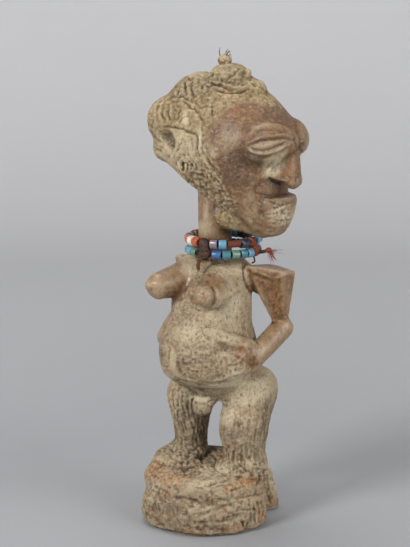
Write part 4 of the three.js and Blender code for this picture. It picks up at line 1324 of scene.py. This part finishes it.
# Patterns of the wood: size of the features in millimetres, detail, stretch along the axes, turn about Y.
# Real pores are about 0.2 mm wide, grain lines 0.3 mm and scratches 0.1 mm. They are too fine to show in the
# render, so they are drawn at 0.9, 1.1 and 0.6 mm.
WOOD_PATTERNS = {
    "broad": (14, 5, (1, 1, 1), 0),
    "patches": (7, 6, (1, 1, 1), 0),
    "mottle": (3.2, 5, (1, 1, 1), 0),
    "dabs": (2.3, 4, (1.5, 1, 0.8), 0),
    "flecks": (1.9, 3, (1.4, 1, 0.8), 0),
    "speck": (1.5, 3, (1, 1, 1.8), 0),
    "grain": (1.1, 3, (1, 1, 12), 0),
    "scratches": (0.6, 2, (1, 1, 9), 40),
    "fine": (0.9, 3, (1, 1, 1), 0),
}


def wood_material(look):
    """Old hand-carved hardwood: dull and grey where it was left alone, brown and waxy where it was handled."""
    material, tree = new_material("carved_hardwood")
    place = add_node(tree, "ShaderNodeTexCoord", output="Object")
    pattern = {}
    for name, (size, detail, stretch, turn) in WOOD_PATTERNS.items():
        scale = [size * MM * along for along in stretch]
        scaled = add_node(tree, "ShaderNodeMapping",
                          {"Vector": place, "Rotation": (0, math.radians(turn), 0), "Scale": scale},
                          vector_type="TEXTURE")
        pattern[name] = add_node(tree, "ShaderNodeTexNoise",
                                 {"Vector": scaled, "Scale": 1, "Detail": detail, "Roughness": 0.62})
    stored = {name: add_node(tree, "ShaderNodeAttribute", output="Fac", attribute_name=name)
              for name in ("polish", "face", "hair", "ochre", "dark", "pale", "hollow", "worn")}

    # The painted values, with borders that the mottle breaks up
    shift = add_node(tree, "ShaderNodeMath", {0: pattern["mottle"], 1: 0.5}, operation="SUBTRACT")
    edged = {}
    for name, amount in (("polish", 0.7), ("face", 0.7), ("ochre", 0.9), ("dark", 0.8), ("pale", 0.8)):
        broken = add_node(tree, "ShaderNodeMath", {0: shift, 1: amount, 2: stored[name]},
                          operation="MULTIPLY_ADD")
        edged[name] = add_node(tree, "ShaderNodeMapRange", {0: broken, 1: 0.12, 2: 0.75})
    face_sheen = add_node(tree, "ShaderNodeMath", {0: stored["face"], 1: 0.6}, operation="MULTIPLY")
    handled = add_node(tree, "ShaderNodeMath", {0: edged["polish"], 1: face_sheen}, operation="MAXIMUM")

    # Dust stays in the pores of the dry wood, less on the handled wood. Ochre stays in dabs on the face. The
    # handled wood and the face have two tones each.
    dry = add_node(tree, "ShaderNodeMapRange", {0: handled, 3: 1, 4: 0.15})
    spots = {}
    for name, source, low, high, where in (
            ("dust", "flecks", 0.52, 0.7, dry), ("dabs", "dabs", 0.5, 0.66, edged["face"]),
            ("blots", "mottle", 0.5, 0.7, handled), ("scratches", "scratches", 0.56, 0.68, handled),
            ("worn_through", "mottle", 0.42, 0.64, edged["polish"]),
            ("red", "patches", 0.4, 0.6, edged["face"])):
        spread = add_node(tree, "ShaderNodeMapRange", {0: pattern[source], 1: low, 2: high})
        spots[name] = add_node(tree, "ShaderNodeMath", {0: spread, 1: where}, operation="MULTIPLY")
    # The hollows darkened as soiling and as painted shade, broken up by grit.
    grit = add_node(tree, "ShaderNodeMapRange", {0: pattern["fine"], 1: 0.3, 2: 0.7, 3: 0.6})
    grime_and_painted_shade = add_node(tree, "ShaderNodeMath", {0: stored["hollow"], 1: grit}, operation="MULTIPLY")

    colour = layered(tree, look.dry_wood, (
        (pattern["broad"], 0.35, 0.65, 1, look.dry_wood_light),
        (pattern["patches"], 0.46, 0.66, 0.7, look.warm),
        (stored["hair"], 0, 1, 0.7, look.hair),
        (edged["polish"], 0, 1, 0.9, look.polished),
        (spots["worn_through"], 0, 1, 0.8, look.polished_dark),
        (edged["face"], 0, 1, 0.85, look.face),
        (spots["red"], 0, 1, 0.75, look.face_red),
        (spots["dabs"], 0, 1, 0.55, look.ochre),
        (spots["blots"], 0, 1, 0.55, look.stain_and_painted_shade),
        (pattern["grain"], 0.48, 0.75, 0.3, look.grain),
        (edged["ochre"], 0, 1, 0.75, look.ochre),
        # The dark and pale patches: partly the wood's own tones, partly painted shade and painted light.
        (edged["dark"], 0, 1, 0.7, look.stain_and_painted_shade),
        (edged["pale"], 0, 1, 0.78, look.bleached_and_painted_light),
        (spots["scratches"], 0, 1, 0.35, look.dry_wood_light),
        (pattern["fine"], 0.48, 0.7, 0.45, look.grain),
        (pattern["speck"], 0.54, 0.7, 0.6, look.stain_and_painted_shade),
        (spots["dust"], 0, 1, 0.45, look.bleached_and_painted_light),
        (stored["worn"], 0, 1, 0.35, look.bleached_and_painted_light),
        # Painted shade and soiling in the hollows.
        (grime_and_painted_shade, 0, 1, 0.85, look.dirt_and_painted_shade),
    ))

    rough = add_node(tree, "ShaderNodeMapRange",
                     {0: handled, 3: look.dry_roughness, 4: look.polished_roughness})
    uneven = add_node(tree, "ShaderNodeMapRange", {0: pattern["mottle"], 1: 0.3, 2: 0.7, 3: -0.06, 4: 0.1})
    rough = add_node(tree, "ShaderNodeMath", {0: rough, 1: uneven}, operation="ADD", use_clamp=True)

    pores = add_node(tree, "ShaderNodeMapRange", {0: pattern["speck"], 1: 0.58, 2: 0.7})
    relief = add_node(tree, "ShaderNodeMath", {0: pattern["fine"], 1: pattern["grain"]}, operation="ADD")
    relief = add_node(tree, "ShaderNodeMath", {0: relief, 1: pores}, operation="SUBTRACT")
    softened = add_node(tree, "ShaderNodeMapRange", {0: handled, 3: 0.45, 4: 0.12})
    relief = add_node(tree, "ShaderNodeMath", {0: relief, 1: softened}, operation="MULTIPLY")
    bump = add_node(tree, "ShaderNodeBump", {"Strength": 1, "Distance": 0.8 * MM, "Height": relief})
    shader = add_node(tree, "ShaderNodeBsdfPrincipled",
                      {"IOR": 1.5, "Specular IOR Level": 0.42, "Base Color": colour, "Roughness": rough,
                       "Normal": bump})
    add_node(tree, "ShaderNodeOutputMaterial", {"Surface": shader})
    return material


def glass_material(name, colour):
    """Old glass wound round a rod: opaque, dulled by wear, with a soft gloss and a few pits."""
    material, tree = new_material(name)
    place = add_node(tree, "ShaderNodeTexCoord", output="Object")
    cloud = add_node(tree, "ShaderNodeTexNoise", {"Vector": place, "Scale": 1 / (1.8 * MM), "Detail": 3})
    # Real pits are about 0.1 mm wide, and are drawn coarser so that they show
    pits = add_node(tree, "ShaderNodeTexNoise", {"Vector": place, "Scale": 1 / (0.5 * MM), "Detail": 2})
    shade = layered(tree, colour, (
        (cloud, 0.4, 0.7, 0.35, linear("#6d655c")), (pits, 0.62, 0.72, 0.6, linear("#3a2f28"))))
    rough = add_node(tree, "ShaderNodeMapRange", {0: cloud, 1: 0.3, 2: 0.7, 3: 0.16, 4: 0.36})
    bump = add_node(tree, "ShaderNodeBump", {"Strength": 0.5, "Distance": 0.12 * MM, "Height": pits})
    shader = add_node(tree, "ShaderNodeBsdfPrincipled", {
        "IOR": 1.52, "Coat Weight": 0.2, "Base Color": shade, "Roughness": rough, "Normal": bump})
    add_node(tree, "ShaderNodeOutputMaterial", {"Surface": shader})
    return material


def fibre_material(look):
    """Twisted plant fibre, greasy and nearly black where it is old and orange where the ends have frayed."""
    material, tree = new_material("twisted_plant_fibre")
    place = add_node(tree, "ShaderNodeTexCoord", output="Object")
    # Real fibres are about 0.2 mm thick, and are drawn coarser so that they show
    threads = add_node(tree, "ShaderNodeTexNoise", {"Vector": place, "Scale": 1 / (0.7 * MM), "Detail": 3})
    bare = add_node(tree, "ShaderNodeAttribute", output="Fac", attribute_name="bare")
    shade = layered(tree, look.fibre_dark, (
        (bare, 0, 1, 1, look.fibre_orange), (threads, 0.45, 0.7, 0.6, linear("#1d1510"))))
    shader = add_node(tree, "ShaderNodeBsdfPrincipled", {"IOR": 1.5, "Roughness": 0.72, "Base Color": shade})
    add_node(tree, "ShaderNodeOutputMaterial", {"Surface": shader})
    return material


def resin_material(look):
    """Earth bound with resin: a dry crumbly paste, pale on its high spots and dark in its pores."""
    material, tree = new_material("resin_bound_earth")
    place = add_node(tree, "ShaderNodeTexCoord", output="Object")
    lumps = add_node(tree, "ShaderNodeTexNoise", {"Vector": place, "Scale": 1 / (2.4 * MM), "Detail": 4})
    # Real grit is about 0.3 mm wide, and is drawn coarser so that it shows
    grit = add_node(tree, "ShaderNodeTexNoise", {"Vector": place, "Scale": 1 / (0.6 * MM), "Detail": 3})
    hair = add_node(tree, "ShaderNodeAttribute", output="Fac", attribute_name="hair")
    shade = layered(tree, look.resin, (
        (lumps, 0.42, 0.62, 1, look.resin_dark), (grit, 0.55, 0.7, 0.6, linear("#e0d4bd")),
        (hair, 0, 1, 1, look.resin_dark)))
    bump = add_node(tree, "ShaderNodeBump", {"Strength": 0.8, "Distance": 0.4 * MM, "Height": grit})
    shader = add_node(tree, "ShaderNodeBsdfPrincipled",
                      {"IOR": 1.5, "Roughness": 0.6, "Base Color": shade, "Normal": bump})
    add_node(tree, "ShaderNodeOutputMaterial", {"Surface": shader})
    return material


def floor_material(look):
    """Matt studio paper, painted paler further away to stand in for the light that falls off there, with a
    faint mottle so that it isn't dead flat to the eye.
    """
    material, tree = new_material("studio_paper")
    place = add_node(tree, "ShaderNodeTexCoord", output="Object")
    cloud = add_node(tree, "ShaderNodeTexNoise", {"Vector": place, "Scale": 1 / (300 * MM), "Detail": 3})
    away = add_node(tree, "ShaderNodeVectorMath", {0: place}, "Value", operation="LENGTH")
    # Painted light: the paper is paler the further it lies from the middle.
    shade = layered(tree, look.floor, (
        (away, 0.2, 1.4, 1, look.backdrop), (cloud, 0.3, 0.7, 0.06, linear("#8f9195"))))
    shader = add_node(tree, "ShaderNodeBsdfPrincipled", {"Roughness": 0.9, "Base Color": shade})
    add_node(tree, "ShaderNodeOutputMaterial", {"Surface": shader})
    return material


# The string, the beads and the charge

def ring_entries(ring, radius):
    """Every bead and knot of a turn with the angle of its middle."""
    height, angle, beads = RINGS[ring]
    found = []
    for colour, length in beads:
        turn = (length + BEAD_GAP) / radius
        found.append((colour, length, angle + turn / 2))
        angle += turn
    return found


def ring_place(ring, angle, radius):
    return np.array([RING_CENTRE[0] + radius * math.cos(angle), RING_CENTRE[1] + radius * math.sin(angle),
                     RINGS[ring][0]])


def ring_path(ring, radius, start, end, count):
    return np.array([ring_place(ring, angle, radius) for angle in np.linspace(start, end, count)])


def frames_along(path):
    """Two directions across a path at each of its points, carried along it without twisting."""
    ahead = np.gradient(path, axis=0)
    ahead /= np.linalg.norm(ahead, axis=1)[:, None]
    first = np.cross(ahead[0], (0.3, 0.2, 1))
    first /= np.linalg.norm(first)
    across = [first]
    for direction in ahead[1:]:
        carried = across[-1] - direction * (across[-1] @ direction)
        across.append(carried / np.linalg.norm(carried))
    across = np.array(across)
    return across, np.cross(ahead, across)


def coiled(path, offset, turns, phase=0.0):
    """A path that winds round another one at a distance."""
    across, over = frames_along(path)
    angle = phase + np.linspace(0, 2 * math.pi * turns, len(path))
    return path + offset * (np.cos(angle)[:, None] * across + np.sin(angle)[:, None] * over)


class Strands:
    """Round strands gathered into one mesh, each with the share of bare fibre in its colour."""

    def __init__(self, seed):
        self.random = np.random.default_rng(seed)
        self.vertices = []
        self.faces = []
        self.bare = []
        self.count = 0

    def add(self, path, radius, bare, tip=0.5, sides=6):
        path = np.asarray(path, float)
        across, over = frames_along(path)
        radii = radius * np.linspace(1, tip, len(path))
        radii[0] *= 0.3
        radii[-1] *= 0.2
        angles = around(sides)
        rings = path[:, None] + radii[:, None, None] * (
            np.cos(angles)[None, :, None] * across[:, None] + np.sin(angles)[None, :, None] * over[:, None])
        self.vertices.append(rings.reshape(-1, 3))
        self.faces.append(grid_quads(len(path), sides) + self.count)
        self.bare.append(np.full(len(path) * sides, bare))
        self.count += len(path) * sides

    def cord(self, path, radius, bare, pitch=3.2, plies=3, tip=0.8):
        """A cord of several plies twisted together."""
        length = np.linalg.norm(np.diff(path, axis=0), axis=1).sum()
        for ply in range(plies):
            self.add(coiled(path, radius * 0.5, length / pitch, ply * 2 * math.pi / plies), radius * 0.55,
                     bare + self.random.uniform(-0.1, 0.1), tip)

    def knot(self, centre, radii, bare, loops, thick):
        """A lump of loops pulled tight round a place."""
        for _ in range(loops):
            turn = Matrix.Rotation(self.random.uniform(0, math.pi), 3, Vector(self.random.normal(size=3)))
            angles = np.linspace(0, 2 * math.pi * 1.15, 22) + self.random.uniform(0, 6)
            loop = np.stack([np.cos(angles), np.sin(angles), 0.25 * np.sin(2 * angles)], 1) @ np.array(turn).T
            scale = np.array(radii) - thick * self.random.uniform(0.8, 1.5)
            self.add(centre + loop * scale, thick, bare + self.random.uniform(-0.3, 0.2), 0.9)

    def tassel(self, start, along, count, length, spread, bare, radius=0.22):
        """Fibres that fan out from a place."""
        along = np.array(along, float) / np.linalg.norm(along)
        for _ in range(count):
            direction = along + spread * self.random.normal(size=3)
            direction /= np.linalg.norm(direction)
            curl = np.cross(direction, self.random.normal(size=3))
            t = np.linspace(0, 1, 9)[:, None]
            reach = length * self.random.uniform(0.45, 1)
            path = (start + self.random.normal(size=3) * 0.3 + direction * t * reach
                    + curl * (t ** 2) * reach * self.random.uniform(0, 0.3)
                    + (0, 0, -1) * t ** 2 * reach * 0.12)
            self.add(path, radius * self.random.uniform(0.6, 1.1),
                     bare + self.random.uniform(-0.3, 0.15), 0.3, 5)

    def made(self, name, value):
        built = mesh_object(name, np.concatenate(self.vertices), np.concatenate(self.faces))
        set_value(built.data, value, np.concatenate(self.bare))
        return built


def necklace_string(look):
    """The string: two turns through the beads, knots that tie them together, a wrapping and frayed ends."""
    radius = look.ring_radius / MM
    thick = look.string_radius / MM
    strands = Strands(STRING_SEED)
    for ring in RINGS:
        strands.cord(ring_path(ring, radius, 0, 2 * math.pi, 160), thick, 0.1, tip=1)
        for colour, length, middle in ring_entries(ring, radius):
            if colour != "knot":
                for side in (-1, 1):
                    angle = middle + side * (length + BEAD_GAP) / 2 / radius
                    binding = ring_path(ring, radius, angle - 0.025, angle + 0.025, 14)
                    strands.add(coiled(binding, thick + 0.25, 1.5), 0.35, 0.05, 1, 5)
    upper, lower = ([middle for colour, _, middle in ring_entries(ring, radius) if colour == "knot"]
                    for ring in RINGS)
    front, side = (ring_place("upper", upper[i], radius) for i in (0, 2))
    front_low, side_low = (ring_place("lower", middle, radius) for middle in lower)
    strands.knot(front, (4.4, 3.4, 3.6), 0.12, 16, 0.75)
    strands.knot((front + front_low) / 2, (4, 3.4, 3.6), 0.1, 14, 0.75)
    strands.knot(front_low, (4.6, 3.4, 4), 0.18, 16, 0.75)
    end = [front_low + step for step in ((-1, -1.5, -2), (-2.2, -3, -5), (-3, -3.2, -8), (-2.4, -3, -10))]
    strands.cord(smooth_path(end), 1.3, 0.16, 4)
    strands.tassel(end[-1], (-0.2, -0.3, -1), 7, 3, 0.3, 0.6)
    wrapped = upper[1]
    strands.add(coiled(ring_path("upper", radius, wrapped - 0.2, wrapped + 0.2, 150), 1.9, 9), 0.55, 0.42, 1)
    over = ring_path("upper", radius + 1, wrapped - 0.75, wrapped - 0.15, 40) + (0, 0, 3.1)
    strands.cord(over, 0.75, 0.25)
    strands.knot(side, (3.4, 3.6, 3.6), 0.8, 14, 0.55)
    strands.knot(side_low, (3.4, 4, 3.6), 0.85, 14, 0.55)
    strands.knot((side + side_low) / 2, (3, 3.4, 3.2), 0.8, 10, 0.5)
    strands.tassel(side, (0.2, -0.4, 1), 10, 4, 0.5, 0.9)
    hook = [side_low + step for step in ((1, -2, -1), (2, -4, -3), (2.6, -4, -6), (0.6, -4.4, -7.4))]
    strands.cord(smooth_path(hook), 0.6, 0.1)
    tail = [side_low + step for step in ((1, 0, 0), (4, 1.5, -0.4), (8, 4, 0.8))]
    strands.cord(smooth_path(tail), 1.3, 0.12, 4)
    tuft = side_low + np.array((8, 4, 0.8))
    strands.knot(tuft, (2, 2, 2), 0.6, 8, 0.5)
    strands.tassel(tuft, (0.85, 0.35, -1), 42, 8.5, 0.28, 0.85, 0.26)
    strands.tassel(tuft, (1, 0.7, 0.25), 5, 10, 0.12, 0.5, 0.16)
    return strands.made("neck_string", "bare")


def bead_object(name, place, along, radius, length, random):
    """A short bead with rounded ends, worn a little out of round, threaded along a direction."""
    half = length / 2
    edge = 0.75
    bend = np.linspace(0, math.pi / 2, 6)
    hole = BEAD_HOLE_RADIUS - 0.2
    profile = np.array(
        [(hole, -half + 0.2)]
        + [(radius - edge + edge * math.sin(a), -half + edge - edge * math.cos(a)) for a in bend]
        + [(radius - edge + edge * math.cos(a), half - edge + edge * math.sin(a)) for a in bend]
        + [(hole, half - 0.2)])
    angles = around(28)
    worn = (1 + 0.03 * np.cos(2 * angles + random.uniform(0, 6))
            + 0.02 * np.cos(3 * angles + random.uniform(0, 6)))
    along = Vector(along + random.normal(size=3) * 0.05)
    turn = np.array(along.to_track_quat("Z", "Y").to_matrix())
    return mesh_object(name, revolved(profile, angles, worn) @ turn.T + place,
                       grid_quads(len(profile), len(angles), joined=True))


def charge_object():
    """The charge: a rough lump in the crown with a few hooked hairs in it."""
    noise = Noise(CHARGE_SEED)
    turn = math.radians(HEAD_TURN)
    x, y, z = CHARGE_PLACE
    centre = np.array([x * math.cos(turn) - y * math.sin(turn), x * math.sin(turn) + y * math.cos(turn), z])
    rows, sides = 40, 56
    polar = np.linspace(0.02, math.pi - 0.02, rows)[:, None]
    angles = around(sides)[None]
    unit = np.stack([np.sin(polar) * np.cos(angles), np.sin(polar) * np.sin(angles),
                     np.cos(polar) + 0 * angles], 2).reshape(-1, 3)
    swell = 1 + 0.16 * noise.at(unit * 5, 2.6) + 0.08 * noise.at(unit * 5, 1.1, 5)
    taper = 1 - 0.22 * smoothstep(0, 1, unit[:, 2])
    size = np.array([CHARGE_RADIUS - 0.5, CHARGE_RADIUS - 0.9, CHARGE_RADIUS])
    lump = unit * size * (np.minimum(swell, 1.06) * taper)[:, None] + centre
    strands = Strands(CHARGE_HAIR_SEED)
    strands.vertices.append(lump)
    strands.faces.append(grid_quads(rows, sides, turned=True))
    strands.bare.append(np.zeros(len(lump)))
    strands.count = len(lump)
    for start, bend, tip, radius in (
            ((-3, 0, 1), (-4.2, -0.4, 5), (-3.2, -0.6, 8), 0.4),
            ((-3.4, 0.5, 0.5), (-4.6, 0.5, 3), (-4.4, 0.8, 6), 0.3),
            ((2, -1, 3), (4.3, -1.2, 6), (5.4, -1.4, 4.6), 0.45),
            ((2.4, 0, 2.5), (4.6, 0, 3.8), (5.6, -0.2, 2), 0.35),
            ((0, 1, 4), (0.6, 1.4, 6), (1.8, 1.6, 6.6), 0.4)):
        path = smooth_path([start, bend, tip], 6) + centre
        strands.add(path, radius, 1, 0.4, 5)
    return strands.made("charge", "hair")


# The stage

def floor_object():
    """A round floor that curves up all round into a low backdrop."""
    profile = np.array(
        [(1, 0), (FLOOR_FLAT / 3, 0), (FLOOR_FLAT, 0)]
        + [(FLOOR_FLAT + FLOOR_CURVE * math.sin(a), FLOOR_CURVE - FLOOR_CURVE * math.cos(a))
           for a in np.linspace(0.15, math.pi / 2, 12)]
        + [(FLOOR_RADIUS, FLOOR_WALL)])
    angles = around(96)
    return mesh_object("floor", revolved(profile, angles), grid_quads(len(profile), len(angles), turned=True))


def area_light(name, place, size, power):
    lamp = bpy.data.lights.new(name, "AREA")
    lamp.energy = power
    lamp.size = size
    made = bpy.data.objects.new(name, lamp)
    made.location = place
    made.rotation_euler = (place - LIGHT_AIM).to_track_quat("Z", "Y").to_euler()
    bpy.context.scene.collection.objects.link(made)
    return made


def finished(piece, material, slot, *nodes):
    piece.data.materials.append(material)
    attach(piece, "root")
    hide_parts(*nodes)


class FIGURE_OT_carving(Operator):
    """Carves the figure with its tool marks and stains, and paints light and shade on it in patches and in its
    hollows
    """
    bl_idname = "figure.carving"
    bl_label = "Carve Figure"

    def execute(self, context):
        look = context.scene.figure_wood
        vertices, quads = carved_surface(look.step)
        body = mesh_object("carved_figure", vertices, quads)
        noise = Noise(look.seed)
        low, high = (np.array(corner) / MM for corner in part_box("figure"))
        add_relief(body, noise, look.relief)
        thin_out(body, look.triangles)
        keep_inside(body.data, low, high)
        paint(body, noise)
        finished(body, wood_material(look), "carved_wood", "figure")
        return {"FINISHED"}


class FIGURE_OT_charge(Operator):
    """Makes the charge in the crown"""
    bl_idname = "figure.charge"
    bl_label = "Make Charge"

    def execute(self, context):
        finished(charge_object(), resin_material(context.scene.figure_necklace), "charge_resin", "crown_charge")
        return {"FINISHED"}


class FIGURE_OT_string(Operator):
    """Makes the string of the necklace with its knots and frayed ends"""
    bl_idname = "figure.string"
    bl_label = "Make String"

    def execute(self, context):
        look = context.scene.figure_necklace
        finished(necklace_string(look), fibre_material(look), "plant_fibre", "bead_string")
        return {"FINISHED"}


class FIGURE_OT_beads(Operator):
    """Threads the glass beads"""
    bl_idname = "figure.beads"
    bl_label = "Thread Beads"

    def execute(self, context):
        look = context.scene.figure_necklace
        materials = {name: glass_material(f"wound_glass_{name}", tuple(getattr(look, name)))
                     for name in BEAD_COLOURS}
        random = np.random.default_rng(BEAD_SEED)
        ring_radius = look.ring_radius / MM
        for ring in RINGS:
            for i, (colour, length, middle) in enumerate(ring_entries(ring, ring_radius)):
                if colour == "knot":
                    continue
                name = f"bead_{ring}_{i + 1}"
                swell = UPPER_SWELL if ring == "upper" else 1
                radius = look.bead_radius / MM * swell * random.uniform(0.96, 1.01)
                along = np.array([-math.sin(middle), math.cos(middle), 0])
                bead = bead_object(f"glass_{name}", ring_place(ring, middle, ring_radius), along, radius,
                                   length + 0.45, random)
                finished(bead, materials[colour], f"glass_{colour}", name)
        return {"FINISHED"}


class FIGURE_OT_stage(Operator):
    """Sets up the floor, the lights, the surroundings and the camera"""
    bl_idname = "figure.stage"
    bl_label = "Set Stage"

    def execute(self, context):
        look = context.scene.figure_stage
        floor = floor_object()
        floor.data.materials.append(floor_material(look))
        across, up, to = Vector(DRAWING_ACROSS), Vector((0, 0, 1)), Vector(TO_EYE)
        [area_light(name, across * x + to * y + up * z, size, getattr(look, power))
                   for name, power, size, (x, y, z) in LIGHTS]
        world = bpy.data.worlds.new("surroundings")
        world.use_nodes = True
        background = world.node_tree.nodes["Background"]
        background.inputs[0].default_value = (*look.air, 1)
        background.inputs[1].default_value = look.air_strength
        context.scene.world = world
        camera = bpy.data.objects.new("camera", bpy.data.cameras.new("camera"))
        camera.location = EYE * MM
        camera.rotation_euler = Vector(TO_EYE).to_track_quat("Z", "Y").to_euler()
        camera.data.sensor_fit = "VERTICAL"
        camera.data.angle = 2 * math.atan(DRAWING_SIZE[1] * DRAWING_UNIT / 2 / EYE_DISTANCE)
        context.scene.collection.objects.link(camera)
        context.scene.camera = camera
        context.scene.view_settings.view_transform = "Standard"
        return {"FINISHED"}


class FIGURE_PT_panel(Panel):
    """Lists the steps and their settings"""
    bl_idname = "FIGURE_PT_panel"
    bl_label = "Power Figure"
    bl_space_type = "VIEW_3D"
    bl_region_type = "UI"
    bl_category = "Figure"

    def draw(self, context):
        groups = (
            (context.scene.figure_wood, (FIGURE_OT_carving,)),
            (context.scene.figure_necklace, (FIGURE_OT_charge, FIGURE_OT_string, FIGURE_OT_beads)),
            (context.scene.figure_stage, (FIGURE_OT_stage,)),
        )
        for settings, operators in groups:
            box = self.layout.box()
            for operator in operators:
                box.operator(operator.bl_idname)
            for name in settings.__annotations__:
                box.prop(settings, name)


CLASSES = (WoodSettings, NecklaceSettings, StageSettings, FIGURE_OT_carving, FIGURE_OT_charge, FIGURE_OT_string,
           FIGURE_OT_beads, FIGURE_OT_stage, FIGURE_PT_panel)


def register():
    for kind in CLASSES:
        bpy.utils.register_class(kind)
    bpy.types.Scene.figure_wood = PointerProperty(type=WoodSettings)
    bpy.types.Scene.figure_necklace = PointerProperty(type=NecklaceSettings)
    bpy.types.Scene.figure_stage = PointerProperty(type=StageSettings)


def unregister():
    del bpy.types.Scene.figure_stage
    del bpy.types.Scene.figure_necklace
    del bpy.types.Scene.figure_wood
    for kind in reversed(CLASSES):
        bpy.utils.unregister_class(kind)


def main():
    register()
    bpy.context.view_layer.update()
    bpy.ops.figure.carving()
    bpy.ops.figure.charge()
    bpy.ops.figure.string()
    bpy.ops.figure.beads()
    bpy.ops.figure.stage()


if __name__ == "__main__":
    main()
